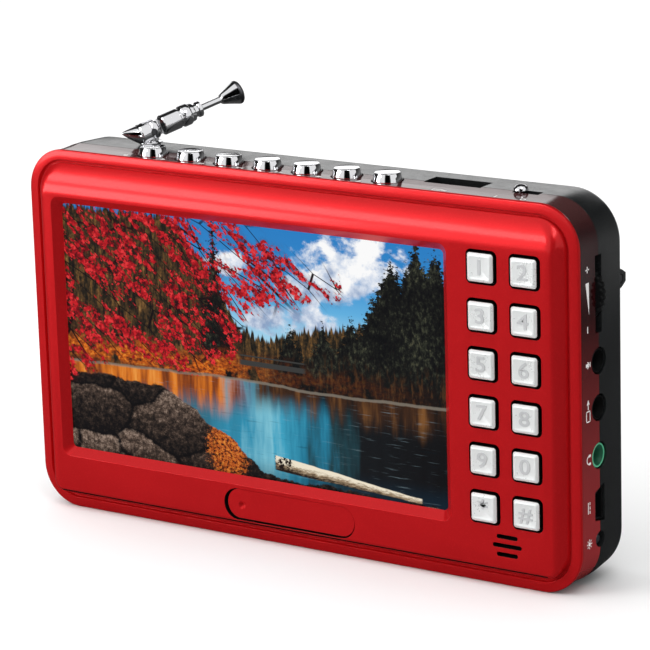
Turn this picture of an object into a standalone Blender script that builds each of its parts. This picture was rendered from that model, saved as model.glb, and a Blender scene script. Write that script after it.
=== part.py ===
"""Portable television: a handheld LCD set with a key pad, top buttons and a telescopic antenna.

Frame: metres, +Z up, the screen faces -Y, +X is the viewer's right. The origin is on the flat
bottom face that the set stands on, centred left to right, 12.2 mm behind the front panel.
Constants below are in millimetres; MM turns them into metres.
"""
import math

import bmesh
import bpy
from mathutils import Matrix, Vector

MM = 0.001

# Casing
BODY_WIDTH = 134.1
BODY_HEIGHT = 79.1
CORNER_RADIUS = 9.0
CORNER_STEPS = 8
FRONT_Y = -12.2                 # flat front panel
RIM_Y = -9.8                    # stepped rim around the panel
SPLIT_Y = -2.0                  # parting plane between the middle frame and the rear cover
REAR_Y = 8.2                    # flat of the rear cover
WALL = 1.8
PANEL_BACK_Y = -10.5
GAP = 0.3                       # clearance between neighbouring pieces
REAR_EDGE_RADIUS = 2.0
TONGUE_BACK_Y = -6.5            # end of the bezel's tongue inside the middle frame

# Screen: a 4.3 inch 16:9 panel
SCREEN_WIDTH = 95.0
SCREEN_HEIGHT = 53.9
SCREEN_X = -10.55
SCREEN_Z = 40.85
WINDOW_CHAMFER = 1.7

# Key pad
KEY_COLUMNS = (46.65, 56.4)
KEY_TOP_ROW_Z = 65.65
KEY_PITCH_Z = 9.81
KEY_ROWS = 6
KEY_SIZE = 5.8
KEY_HOLE = 7.0
KEY_PROUD = 0.9

# Top buttons
TOP_BUTTON_COUNT = 7
TOP_BUTTON_FIRST_X = -37.9
TOP_BUTTON_PITCH = 9.72
TOP_BUTTON_Y = -4.4             # in the middle frame, just before the parting plane
TOP_BUTTON_RADIUS = 3.05
TOP_BUTTON_PROUD = 1.7

# Sockets and controls on the right side and on the top, on the parting plane
USB_X = 34.4
USB_Y = -0.2
USB_SLOT = (13.2, 5.0)
SWITCH_X = 49.9
SWITCH_SLOT = (48.4, 54.4)
WHEEL_Z = 60.4
WHEEL_RADIUS = 6.3
WHEEL_HALF_WIDTH = 0.9
WHEEL_PROUD = 1.35
WHEEL_RIBS = 28
JACK_HEIGHTS = {"mic_jack": 46.9, "av_out_jack": 37.4, "line_jack": 27.6}
JACK_HOLE_RADIUS = 2.75
DC_PORT_Z = 17.75
LED_Z = 10.3

# Antenna: a turret on the rear top edge, leaning back and to the right
ANTENNA_X = -44.5
ANTENNA_Y = 3.6
ANTENNA_HINGE_Z = 82.0
ANTENNA_AZIMUTH = 62.0          # degrees from +X towards +Y
ANTENNA_ELEVATION = 15.6        # degrees above the horizontal
TUBE_RADIUS = 2.2
NOSE_RINGS = [(0.0, 1.9, -2.0), (0.05, 2.1, -2.85), (0.85, 1.3, -4.5), (1.6, 0.55, -5.9), (1.8, 0.12, -6.3)]

# Rear stand, hinged between two lugs
STAND_AXIS_Y = 10.4
STAND_AXIS_Z = 60.5
STAND_HALF_WIDTH = 61.7
STAND_ARM = 5.0
STAND_FOOT_Z = 4.5
LUG_X = (62.2, 65.2)

# Battery bay and door
BATTERY_SIZE = (54.0, 5.4, 34.0)
BATTERY_CENTRE = (-2.0, 34.0)
DOOR_SIZE = (58.0, 38.0)

SCREW_PLACES = [(-60.5, 72.6), (60.5, 72.6), (-60.5, 6.5), (60.5, 6.5)]


# ---------------------------------------------------------------- scene and helpers

def clear_scene():
    for item in list(bpy.data.objects):
        bpy.data.objects.remove(item, do_unlink=True)


def new_collection(name):
    collection = bpy.data.collections.new(name)
    bpy.context.scene.collection.children.link(collection)
    return collection


clear_scene()
PARTS = new_collection("portable_television")
CUTTERS = new_collection("cutters")


def material(name, colour, metallic, roughness, alpha=1.0):
    made = bpy.data.materials.new(name)
    made.use_nodes = True
    shader = made.node_tree.nodes["Principled BSDF"]
    shader.inputs["Base Color"].default_value = (*colour, 1.0)
    shader.inputs["Metallic"].default_value = metallic
    shader.inputs["Roughness"].default_value = roughness
    shader.inputs["Alpha"].default_value = alpha
    return made


COLOURS = {
    "red_paint": ((0.52, 0.012, 0.018), 0.15, 0.3),
    "maroon_band": ((0.13, 0.015, 0.018), 0.0, 0.15),
    "black_casing": ((0.02, 0.02, 0.022), 0.0, 0.22),
    "clear_lens": ((0.02, 0.025, 0.03), 0.0, 0.05),
    "display": ((0.03, 0.05, 0.06), 0.0, 0.3),
    "silver_key": ((0.62, 0.62, 0.65), 0.4, 0.35),
    "black_rubber": ((0.01, 0.01, 0.01), 0.0, 0.7),
    "chrome": ((0.8, 0.8, 0.82), 1.0, 0.08),
    "circuit_board": ((0.01, 0.12, 0.05), 0.0, 0.5),
    "black_plastic": ((0.012, 0.012, 0.012), 0.0, 0.4),
    "green_plastic": ((0.1, 0.55, 0.25), 0.0, 0.35),
    "port_metal": ((0.5, 0.5, 0.52), 1.0, 0.3),
    "led_lens": ((0.03, 0.03, 0.035), 0.0, 0.1),
    "speaker_grey": ((0.1, 0.1, 0.1), 0.0, 0.5),
    "battery_wrap": ((0.03, 0.05, 0.12), 0.0, 0.4),
    "screw_steel": ((0.18, 0.18, 0.19), 1.0, 0.35),
}


def add_object(name, bm, slot, origin=(0.0, 0.0, 0.0), smooth_angle=30.0):
    """Turn a bmesh, whose coordinates are in mm about its origin, into a placed object."""
    bmesh.ops.recalc_face_normals(bm, faces=bm.faces)
    bmesh.ops.scale(bm, vec=(MM, MM, MM), verts=bm.verts)
    mesh = bpy.data.meshes.new(name)
    bm.to_mesh(mesh)
    bm.free()
    mesh.shade_smooth()
    mesh.set_sharp_from_angle(angle=math.radians(smooth_angle))
    made = bpy.data.objects.new(name, mesh)
    made.location = Vector(origin) * MM
    if slot is None:
        CUTTERS.objects.link(made)
        made.hide_render = True
        made.display_type = "WIRE"
    else:
        PARTS.objects.link(made)
        mesh.materials.append(material(name, *COLOURS[slot]))
    return made


def box_bmesh(low, high):
    bm = bmesh.new()
    bmesh.ops.create_cube(bm, size=1.0)
    size = [high[i] - low[i] for i in range(3)]
    centre = [(high[i] + low[i]) / 2 for i in range(3)]
    bmesh.ops.scale(bm, vec=size, verts=bm.verts)
    bmesh.ops.translate(bm, vec=centre, verts=bm.verts)
    return bm


def box(name, low, high, slot, origin=(0.0, 0.0, 0.0)):
    return add_object(name, box_bmesh(low, high), slot, origin)


AXIS_TURN = {
    "X": Matrix.Rotation(math.pi / 2, 4, "Y"),
    "Y": Matrix.Rotation(-math.pi / 2, 4, "X"),
    "Z": Matrix.Identity(4),
}


def cylinder(name, axis, start, length, radius, slot, end_radius=None, steps=24, origin=(0.0, 0.0, 0.0)):
    """A cylinder or cone from the point start, running length along the +axis."""
    bm = bmesh.new()
    far_radius = radius if end_radius is None else end_radius
    place = Matrix.Translation(start) @ AXIS_TURN[axis] @ Matrix.Translation((0, 0, length / 2))
    bmesh.ops.create_cone(bm, cap_ends=True, segments=steps, radius1=radius, radius2=far_radius,
                          depth=length, matrix=place)
    return add_object(name, bm, slot, origin)


def turned(name, profile, slot, steps=24, smooth_angle=35.0):
    """A turned piece about local Z. profile lists (radius, height) from top to bottom."""
    bm = bmesh.new()
    corners = [bm.verts.new((radius, 0.0, height)) for radius, height in profile]
    for first, second in zip(corners, corners[1:]):
        bm.edges.new((first, second))
    made = add_object(name, bm, slot)
    screw = made.modifiers.new("turn", "SCREW")
    screw.axis = "Z"
    screw.steps = steps
    screw.render_steps = steps
    screw.use_merge_vertices = True
    screw.merge_threshold = 0.000001
    made.modifiers.new("weld", "WELD").merge_threshold = 0.000001
    return made


def leaning_cone(name, rings, steps=20):
    """Circles of (shift along -X, radius, height), skinned from top to bottom."""
    bm = bmesh.new()
    loops = []
    for shift, radius, height in rings:
        angles = [2 * math.pi * step / steps for step in range(steps)]
        loops.append([bm.verts.new((radius * math.cos(angle) - shift, radius * math.sin(angle), height))
                      for angle in angles])
    for upper, lower in zip(loops, loops[1:]):
        for step in range(steps):
            after = (step + 1) % steps
            bm.faces.new((upper[step], lower[step], lower[after], upper[after]))
    bm.faces.new(loops[0])
    bm.faces.new(list(reversed(loops[-1])))
    return add_object(name, bm, None)


def rounded_outline(left, right, bottom, top, radius, steps=CORNER_STEPS):
    """Corner arcs of a rounded rectangle as (x, z) points, anticlockwise seen from the front."""
    centres = [(right - radius, top - radius, 0), (left + radius, top - radius, 90),
               (left + radius, bottom + radius, 180), (right - radius, bottom + radius, 270)]
    points = []
    for x, z, start in centres:
        for step in range(steps + 1):
            angle = math.radians(start + 90 * step / steps)
            points.append((x + radius * math.cos(angle), z + radius * math.sin(angle)))
    return points


def casing_outline(inset, radius=None, top_inset=None, bottom_inset=None):
    """The casing's outline, moved in by inset all round, or further at the top and bottom."""
    half = BODY_WIDTH / 2
    top = BODY_HEIGHT - (inset if top_inset is None else top_inset)
    bottom = inset if bottom_inset is None else bottom_inset
    corner = CORNER_RADIUS - inset if radius is None else radius
    return rounded_outline(-half + inset, half - inset, bottom, top, corner)


def loft_bmesh(sections, ring=False):
    """Skin sections of (y, outline). Ends are capped, or joined to each other when ring is true."""
    bm = bmesh.new()
    loops = []
    for y, outline in sections:
        loops.append([bm.verts.new((x, y, z)) for x, z in outline])
    pairs = list(zip(loops, loops[1:]))
    if ring:
        pairs.append((loops[-1], loops[0]))
    for near, far in pairs:
        count = len(near)
        for index in range(count):
            after = (index + 1) % count
            bm.faces.new((near[index], near[after], far[after], far[index]))
    if not ring:
        bm.faces.new(loops[0])
        bm.faces.new(list(reversed(loops[-1])))
    return bm


def loft(name, sections, slot, ring=False, origin=(0.0, 0.0, 0.0)):
    return add_object(name, loft_bmesh(sections, ring), slot, origin)


def plate(name, outline, low_y, high_y, slot, origin=(0.0, 0.0, 0.0)):
    return loft(name, [(low_y, outline), (high_y, outline)], slot, origin=origin)


def boolean(target, other, operation):
    modifier = target.modifiers.new(operation.lower() + "_" + other.name, "BOOLEAN")
    modifier.operation = operation
    modifier.solver = "EXACT"
    modifier.object = other


def cut(target, *cutters):
    for cutter in cutters:
        boolean(target, cutter, "DIFFERENCE")


def join(target, *additions):
    for addition in additions:
        boolean(target, addition, "UNION")


# ---------------------------------------------------------------- cutters shared by the casings

def key_centres():
    for row in range(KEY_ROWS):
        for column, x in enumerate(KEY_COLUMNS):
            yield row * len(KEY_COLUMNS) + column + 1, x, KEY_TOP_ROW_Z - row * KEY_PITCH_Z


def top_button_places():
    return [TOP_BUTTON_FIRST_X + TOP_BUTTON_PITCH * index for index in range(TOP_BUTTON_COUNT)]


def dc_outline(grow=0.0):
    """Trapezoid of the power socket as (y, z) corners, the narrow side to the front."""
    low, high = DC_PORT_Z - 3.85, DC_PORT_Z + 3.85
    front, rear = SPLIT_Y - 1.7, SPLIT_Y + 1.7
    return [(front - grow, low + 0.6 - grow), (rear + grow, low - grow),
            (rear + grow, high + grow), (front - grow, high - 1.4 + grow)]


def prism_x(name, outline, low_x, high_x, slot):
    """A prism along X with an outline of (y, z) corners."""
    bm = bmesh.new()
    near = [bm.verts.new((low_x, y, z)) for y, z in outline]
    far = [bm.verts.new((high_x, y, z)) for y, z in outline]
    bm.faces.new(near)
    bm.faces.new(list(reversed(far)))
    count = len(outline)
    for index in range(count):
        after = (index + 1) % count
        bm.faces.new((near[index], near[after], far[after], far[index]))
    return add_object(name, bm, slot)


def parting_cutters():
    """Holes that lie on the parting plane, cut half from each casing."""
    low_z, high_z = BODY_HEIGHT - 4.0, BODY_HEIGHT + 2.0
    cutters = []
    for index, x in enumerate(top_button_places(), start=1):
        cutters.append(cylinder(f"cut_top_button_{index}", "Z", (x, TOP_BUTTON_Y, low_z), high_z - low_z,
                                TOP_BUTTON_RADIUS + GAP, None))
    cutters.append(box("cut_usb", (USB_X - USB_SLOT[0] / 2, USB_Y - USB_SLOT[1] / 2, low_z),
                       (USB_X + USB_SLOT[0] / 2, USB_Y + USB_SLOT[1] / 2, high_z), None))
    cutters.append(box("cut_switch", (SWITCH_SLOT[0], SPLIT_Y - 1.1, low_z),
                       (SWITCH_SLOT[1], SPLIT_Y + 1.1, high_z), None))
    near_x, far_x = BODY_WIDTH / 2 - 4.0, BODY_WIDTH / 2 + 2.0
    cutters.append(box("cut_wheel", (near_x, SPLIT_Y - 1.15, WHEEL_Z - 7.8),
                       (far_x, SPLIT_Y + 1.15, WHEEL_Z + 7.8), None))
    for name, z in JACK_HEIGHTS.items():
        cutters.append(cylinder("cut_" + name, "X", (near_x, SPLIT_Y, z), far_x - near_x,
                                JACK_HOLE_RADIUS, None))
    cutters.append(prism_x("cut_dc", dc_outline(0.1), near_x, far_x, None))
    cutters.append(cylinder("cut_led", "X", (near_x, SPLIT_Y, LED_Z), far_x - near_x, 1.65, None,
                            steps=20))
    return cutters


# ---------------------------------------------------------------- casings

def front_bezel():
    """Red front: stepped rim, groove, crowned panel, and a tongue into the middle frame."""
    rim_back = RIM_Y + 0.8
    groove_floor = RIM_Y + 0.6
    tongue, tongue_inner = 2.35, 3.75
    sections = [
        (FRONT_Y, casing_outline(4.9, radius=3.0, top_inset=8.4, bottom_inset=4.4)),
        (RIM_Y + 0.05, casing_outline(2.9)),
        (groove_floor, casing_outline(2.75)),
        (groove_floor, casing_outline(2.35)),
        (RIM_Y, casing_outline(2.1)),
        (RIM_Y, casing_outline(0.4)),
        (RIM_Y + 0.35, casing_outline(0.0)),
        (rim_back, casing_outline(0.0)),
        (rim_back, casing_outline(tongue)),
        (TONGUE_BACK_Y, casing_outline(tongue)),
        (TONGUE_BACK_Y, casing_outline(tongue_inner)),
        (-8.0, casing_outline(tongue_inner)),
        (PANEL_BACK_Y, casing_outline(6.0, radius=3.0, top_inset=9.2, bottom_inset=6.0)),
    ]
    bezel = loft("front_bezel", sections, "red_paint")
    for index, (x, z) in enumerate(SCREW_PLACES, start=1):
        join(bezel, cylinder(f"add_front_boss_{index}", "Y", (x, -9.15, z), 6.75, 2.3, None, steps=14))
        cut(bezel, cylinder(f"cut_front_boss_{index}", "Y", (x, -6.4, z), 5.0, 1.15, None, steps=12))
    cut(bezel, window_cutter(), badge_cutter())
    places = top_button_places()
    cut(bezel, box("cut_tongue_relief", (places[0] - 4.3, RIM_Y + 0.95, BODY_HEIGHT - 4.3),
                   (places[-1] + 4.3, TONGUE_BACK_Y + 0.5, BODY_HEIGHT - 1.9), None))
    for number, x, z in key_centres():
        half = KEY_HOLE / 2
        outline = rounded_outline(x - half, x + half, z - half, z + half, 1.2, steps=3)
        cut(bezel, plate(f"cut_key_{number:02d}", outline, FRONT_Y - 1.0, PANEL_BACK_Y + 1.0, None))
    for row, length in enumerate((4.8, 6.6, 4.8)):
        z = 11.05 - 1.85 * row
        outline = rounded_outline(51.6 - length / 2, 51.6 + length / 2, z - 0.45, z + 0.45, 0.4, steps=2)
        cut(bezel, plate(f"cut_grille_{row + 1}", outline, FRONT_Y - 1.0, PANEL_BACK_Y + 1.0, None))


def window_cutter():
    """The screen's window, wider at the front by the chamfer."""
    def outline(grow, radius):
        return rounded_outline(SCREEN_X - SCREEN_WIDTH / 2 - grow, SCREEN_X + SCREEN_WIDTH / 2 + grow,
                               SCREEN_Z - SCREEN_HEIGHT / 2 - grow, SCREEN_Z + SCREEN_HEIGHT / 2 + grow,
                               radius, steps=4)
    slope = WINDOW_CHAMFER / (PANEL_BACK_Y - FRONT_Y)
    return loft("cut_window", [(FRONT_Y - 1.0, outline(WINDOW_CHAMFER + slope, 2.6)),
                               (PANEL_BACK_Y, outline(0.0, 1.0)),
                               (PANEL_BACK_Y + 1.0, outline(0.0, 1.0))], None)


BADGE = {"left": -17.2, "right": 15.4, "bottom": 4.6, "top": 11.4}


def badge_cutter():
    outline = rounded_outline(BADGE["left"], BADGE["right"], BADGE["bottom"], BADGE["top"], 3.35, steps=8)
    return plate("cut_badge", outline, FRONT_Y - 1.0, FRONT_Y + 0.9, None)


def badge_plate():
    """Blank pill-shaped inlay under the screen, with one small dimple."""
    outline = rounded_outline(BADGE["left"] + 0.65, BADGE["right"] - 0.3, BADGE["bottom"] + 0.3,
                              BADGE["top"] - 0.3, 3.05, steps=8)
    made = plate("badge_plate", outline, FRONT_Y + 0.05, FRONT_Y + 0.6, "red_paint")
    cut(made, cylinder("cut_dimple", "Y", (-13.4, FRONT_Y - 0.05, 8.1), 0.4, 0.9, None,
                       end_radius=0.6, steps=16))


def middle_frame(cutters):
    """Dark red band between the bezel and the rear cover."""
    front, back = RIM_Y + 1.1, SPLIT_Y - 0.15
    sections = [(front, casing_outline(0.2)), (back, casing_outline(0.2)),
                (back, casing_outline(2.0)), (front, casing_outline(2.0))]
    cut(loft("middle_frame", sections, "maroon_band", ring=True), *cutters)


def rear_cover(cutters):
    """Black rear shell with rounded edges, battery bay, screw bosses and stand lugs."""
    edge_y = REAR_Y - REAR_EDGE_RADIUS
    sections = []
    for step in range(5):
        angle = math.radians(90 - 22.5 * step)
        inset = REAR_EDGE_RADIUS * (1 - math.cos(angle))
        sections.append((edge_y + REAR_EDGE_RADIUS * math.sin(angle),
                         casing_outline(inset, radius=CORNER_RADIUS + 1.2 - inset)))
    front = SPLIT_Y + 0.15
    sections += [(1.0, casing_outline(0.0)), (front, casing_outline(0.0)),
                 (front, casing_outline(WALL)),
                 (REAR_Y - WALL, casing_outline(WALL, radius=CORNER_RADIUS - 1.0))]
    cover = loft("rear_cover", sections, "black_casing")
    for index, (x, z) in enumerate(SCREW_PLACES, start=1):
        join(cover, cylinder(f"add_rear_boss_{index}", "Y", (x, -1.7, z), 8.7, 2.6, None, steps=16))
    x, z = BATTERY_CENTRE
    half_x, half_z = DOOR_SIZE[0] / 2, DOOR_SIZE[1] / 2
    tray = box("add_tray", (x - half_x - 1.2, -0.9, z - half_z - 1.2),
               (x + half_x + 1.2, REAR_Y - WALL + 0.5, z + half_z + 1.2), None)
    join(cover, tray)
    for side in (-1, 1):
        join(cover, stand_lug(side))
    cut(cover, *cutters)
    cut(cover, box("cut_bay", (x - half_x, 0.1, z - half_z), (x + half_x, REAR_Y + 1, z + half_z), None))
    cut(cover, cylinder("cut_turret", "Z", (ANTENNA_X, ANTENNA_Y, BODY_HEIGHT - 4), 6.0, 2.2, None))
    for index, (x, z) in enumerate(SCREW_PLACES, start=1):
        cut(cover, cylinder(f"cut_screw_{index}", "Y", (x, -3.0, z), 12.0, 1.25, None, steps=12))
        cut(cover, cylinder(f"cut_head_{index}", "Y", (x, 6.9, z), 3.0, 2.2, None, steps=20))
    for side in (-1, 1):
        start = side * (LUG_X[0] - 1.0) if side > 0 else -LUG_X[1] - 1.0
        cut(cover, cylinder(f"cut_lug_{'left' if side < 0 else 'right'}", "X",
                            (start, STAND_AXIS_Y, STAND_AXIS_Z), LUG_X[1] - LUG_X[0] + 2.0, 0.95,
                            None, steps=12))


def stand_lug(side):
    """Faceted ear for the stand's pin, rooted in the rear wall."""
    outline = [(REAR_Y - 1.2, STAND_AXIS_Z - 2.2), (REAR_Y + 2.4, STAND_AXIS_Z - 1.9),
               (REAR_Y + 4.2, STAND_AXIS_Z - 0.9), (REAR_Y + 4.2, STAND_AXIS_Z + 0.9),
               (REAR_Y + 2.4, STAND_AXIS_Z + 1.9), (REAR_Y - 1.2, STAND_AXIS_Z + 2.2)]
    low, high = sorted((side * LUG_X[0], side * LUG_X[1]))
    return prism_x(f"add_lug_{'left' if side < 0 else 'right'}", outline, low, high, None)


def battery_door():
    """Flush lid over the battery; it pulls straight off the rear."""
    x, z = BATTERY_CENTRE
    half_x, half_z = DOOR_SIZE[0] / 2 - GAP, DOOR_SIZE[1] / 2 - GAP
    outline = rounded_outline(-half_x, half_x, -half_z, half_z, 0.6, steps=2)
    inner = rounded_outline(-half_x + 0.3, half_x - 0.3, -half_z + 0.3, half_z - 0.3, 0.5, steps=2)
    made = loft("battery_door", [(-1.5, outline), (-0.3, outline), (0.0, inner)], "black_casing",
                origin=(x, REAR_Y, z))
    for index in range(4):
        groove = box(f"cut_grip_{index + 1}", (-8.0, -0.5, half_z - 4.3 - 1.6 * index),
                     (8.0, 1.0, half_z - 3.6 - 1.6 * index), None, origin=(x, REAR_Y, z))
        cut(made, groove)


def casing_screw(index, x, z):
    """Pan-head screw from the rear cover into the bezel's boss."""
    made = turned(f"casing_screw_{index}", [(0, 0.95), (1.2, 0.8), (1.75, 0.45), (1.9, 0.0), (0.9, 0.0),
                                            (0.9, -11.4), (0.4, -12.2), (0, -12.2)], "screw_steel", steps=12)
    made.rotation_euler = (-math.pi / 2, 0, 0)
    made.location = Vector((x, 7.2, z)) * MM
    for turn, size in enumerate(((1.2, 0.25), (0.25, 1.2))):
        cut(made, box(f"cut_cross_{index}_{turn}", (x - size[0], 7.55, z - size[1]),
                      (x + size[0], 9.0, z + size[1]), None))


# ---------------------------------------------------------------- screen

def screen():
    half_w, half_h = SCREEN_WIDTH / 2, SCREEN_HEIGHT / 2
    lens = rounded_outline(SCREEN_X - half_w - 1.6, SCREEN_X + half_w + 1.6,
                           SCREEN_Z - half_h - 1.6, SCREEN_Z + half_h + 1.6, 0.8, steps=2)
    plate("display_lens", lens, PANEL_BACK_Y + GAP, PANEL_BACK_Y + 1.1, "clear_lens")
    panel = box("lcd_panel", (SCREEN_X - half_w - 2.0, -9.1, SCREEN_Z - half_h - 1.8),
                (SCREEN_X + half_w + 2.0, -6.2, SCREEN_Z + half_h + 2.1), "display")
    bevel = panel.modifiers.new("edge", "BEVEL")
    bevel.width = 0.3 * MM
    bevel.segments = 1


# ---------------------------------------------------------------- keys and buttons

def number_key(number, x, z):
    """Square cap with a bevelled top and a hidden flange; the origin is on the panel's front."""
    def square(half, radius):
        return rounded_outline(-half, half, -half, half, radius, steps=3)
    half = KEY_SIZE / 2
    flange_front, flange_back = 2.1, 2.8
    sections = [(-KEY_PROUD, square(half - 0.45, 0.6)), (-KEY_PROUD + 0.4, square(half, 0.9)),
                (flange_front, square(half, 0.9)), (flange_front, square(4.1, 0.9)),
                (flange_back, square(4.1, 0.9))]
    loft(f"key_{number:02d}", sections, "silver_key", origin=(x, FRONT_Y, z))


def key_pad():
    for number, x, z in key_centres():
        number_key(number, x, z)
    low_x, high_x = KEY_COLUMNS[0] - 4.3, KEY_COLUMNS[1] + 4.2
    low_z = KEY_TOP_ROW_Z - (KEY_ROWS - 1) * KEY_PITCH_Z - 4.0
    high_z = KEY_TOP_ROW_Z + 4.2
    box("key_mat", (low_x, -8.3, low_z), (high_x, -7.5, high_z), "black_rubber")
    box("key_board", (low_x, -7.2, low_z), (high_x, -6.2, high_z), "circuit_board")


def top_button(index, x):
    """Chrome domed button with a hidden flange; the origin is on the casing's top."""
    radius = TOP_BUTTON_RADIUS
    profile = [(0, TOP_BUTTON_PROUD), (radius * 0.6, TOP_BUTTON_PROUD - 0.05),
               (radius * 0.92, TOP_BUTTON_PROUD - 0.14), (radius * 0.99, TOP_BUTTON_PROUD - 0.3),
               (radius, TOP_BUTTON_PROUD - 0.5), (radius, -2.4), (radius + 0.5, -2.4),
               (radius + 0.5, -3.2), (0, -3.2)]
    made = turned(f"top_button_{index}", profile, "chrome", steps=20)
    made.location = Vector((x, TOP_BUTTON_Y, BODY_HEIGHT)) * MM


def top_controls():
    places = top_button_places()
    for index, x in enumerate(places, start=1):
        top_button(index, x)
    board = box("top_board", (places[0] - 4.2, TOP_BUTTON_Y - 2.8, 73.5),
                (places[-1] + 4.2, TOP_BUTTON_Y + 3.2, 74.5), "circuit_board")
    for index, x in enumerate(places, start=1):
        join(board, cylinder(f"add_tact_{index}", "Z", (x, TOP_BUTTON_Y, 74.2), 0.7, 1.6, None,
                             steps=12))


def power_switch():
    """Slide switch: a nub on a stem through the slot, over a fixed switch body."""
    knob = box("power_switch_knob", (-2.6, -1.7, -3.6), (2.6, 1.7, -2.5), "chrome",
               origin=(SWITCH_X, SPLIT_Y, BODY_HEIGHT))
    stem = box("add_switch_stem", (-1.1, -0.8, -2.8), (1.1, 0.8, 0.5), None,
               origin=(SWITCH_X, SPLIT_Y, BODY_HEIGHT))
    cap = turned("add_switch_cap", [(0, 1.5), (0.8, 1.4), (1.3, 1.05), (1.5, 0.35), (0, 0.35)], None,
                 steps=20)
    cap.location = Vector((SWITCH_X, SPLIT_Y, BODY_HEIGHT)) * MM
    join(knob, stem, cap)
    box("power_switch_body", (46.8, SPLIT_Y - 1.9, 70.6), (56.2, SPLIT_Y + 1.9, 75.1), "port_metal")


def volume_control():
    """Ribbed thumbwheel on a small potentiometer, its rim standing out of the right side."""
    x = BODY_WIDTH / 2 + WHEEL_PROUD - WHEEL_RADIUS
    outline = []
    for rib in range(WHEEL_RIBS):
        for part, depth in ((0.0, 0.3), (0.25, 0.0), (0.6, 0.0), (0.85, 0.3)):
            angle = 2 * math.pi * (rib + part) / WHEEL_RIBS
            radius = WHEEL_RADIUS - depth
            outline.append((radius * math.cos(angle), radius * math.sin(angle)))
    wheel = plate("volume_wheel", outline, -WHEEL_HALF_WIDTH, WHEEL_HALF_WIDTH, "black_plastic",
                  origin=(x, SPLIT_Y, WHEEL_Z))
    cut(wheel, cylinder("cut_wheel_bore", "Y", (x, SPLIT_Y - 2, WHEEL_Z), 4.0, 1.7, None, steps=16))
    pot = box("volume_pot", (x - 6.4, SPLIT_Y + 1.4, WHEEL_Z - 4.6), (x + 2.6, SPLIT_Y + 4.2, WHEEL_Z + 4.6),
              "black_plastic")
    join(pot, cylinder("add_pot_shaft", "Y", (x, SPLIT_Y - 0.85, WHEEL_Z), 2.6, 1.35, None, steps=16))


# ---------------------------------------------------------------- sockets

def jack(name, z, slot):
    """Round socket: a barrel in the casing's hole, with a funnelled bore."""
    body = box(name, (54.5, SPLIT_Y - 3.0, z - 3.1), (64.9, SPLIT_Y + 3.0, z + 3.1), slot)
    mouth = BODY_WIDTH / 2 - 0.3
    join(body, cylinder("add_" + name, "X", (64.0, SPLIT_Y, z), mouth - 64.0, 2.5, None))
    cut(body, cylinder("cut_bore_" + name, "X", (56.0, SPLIT_Y, z), 12.0, 1.8, None, steps=20))
    cut(body, cylinder("cut_mouth_" + name, "X", (mouth - 0.9, SPLIT_Y, z), 1.0, 1.6, None,
                       end_radius=2.3))


def dc_socket():
    port = prism_x("dc_port", dc_outline(-0.2), 58.5, BODY_WIDTH / 2 - 0.4, "port_metal")
    cut(port, prism_x("cut_dc_bore", dc_outline(-0.6), 60.0, BODY_WIDTH / 2 + 1.0, None))
    tongue = box("add_dc_tongue", (59.5, SPLIT_Y - 0.35, DC_PORT_Z - 2.3),
                 (65.4, SPLIT_Y + 0.35, DC_PORT_Z + 1.5), None)
    join(port, tongue)


def led_lamp():
    made = turned("led_lamp", [(0, 1.2), (0.7, 1.05), (1.15, 0.7), (1.35, 0.0), (1.35, -3.0),
                               (0, -3.0)], "led_lens", steps=16)
    made.rotation_euler = (0, math.pi / 2, 0)
    made.location = Vector((65.5, SPLIT_Y, LED_Z)) * MM


def usb_socket():
    """Metal shell under the slot in the top, with its contact tongue."""
    half_x, half_y = 6.9, 2.85
    top, bottom = BODY_HEIGHT - WALL - 0.5, 66.0
    port = box("usb_port", (USB_X - half_x, USB_Y - half_y, bottom), (USB_X + half_x, USB_Y + half_y, top),
               "port_metal")
    cut(port, box("cut_usb_bore", (USB_X - 6.4, USB_Y - 2.4, bottom + 0.8),
                  (USB_X + 6.4, USB_Y + 2.4, top + 1.0), None))
    join(port, box("add_usb_tongue", (USB_X - 5.4, USB_Y + 0.5, bottom + 0.4),
                   (USB_X + 5.4, USB_Y + 2.3, top - 1.8), None))


# ---------------------------------------------------------------- inside

def electronics():
    board = box("main_board", (-57.0, -5.6, 12.0), (50.0, -4.6, 65.0), "circuit_board")
    chips = [(-30, 50, 12, 12), (0, 56, 16, 8), (26, 44, 10, 10), (30, 20, 14, 9), (-45, 24, 8, 12)]
    for index, (x, z, width, height) in enumerate(chips, start=1):
        join(board, box(f"add_chip_{index}", (x - width / 2, -4.9, z - height / 2),
                        (x + width / 2, -3.5, z + height / 2), None))
    outline = rounded_outline(43.4, 57.4, 5.6, 12.1, 2.5, steps=4)
    speaker = loft("speaker", [(-9.3, outline), (-6.2, outline)], "speaker_grey")
    recess = rounded_outline(44.4, 56.4, 6.6, 11.1, 2.0, steps=4)
    cut(speaker, plate("cut_speaker", recess, -10.0, -8.9, None))
    x, z = BATTERY_CENTRE
    width, depth, height = BATTERY_SIZE
    battery = box("battery", (x - width / 2, 0.6, z - height / 2), (x + width / 2, 0.6 + depth, z + height / 2),
                  "battery_wrap")
    bevel = battery.modifiers.new("edge", "BEVEL")
    bevel.width = 0.8 * MM
    bevel.segments = 2


# ---------------------------------------------------------------- antenna

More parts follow.
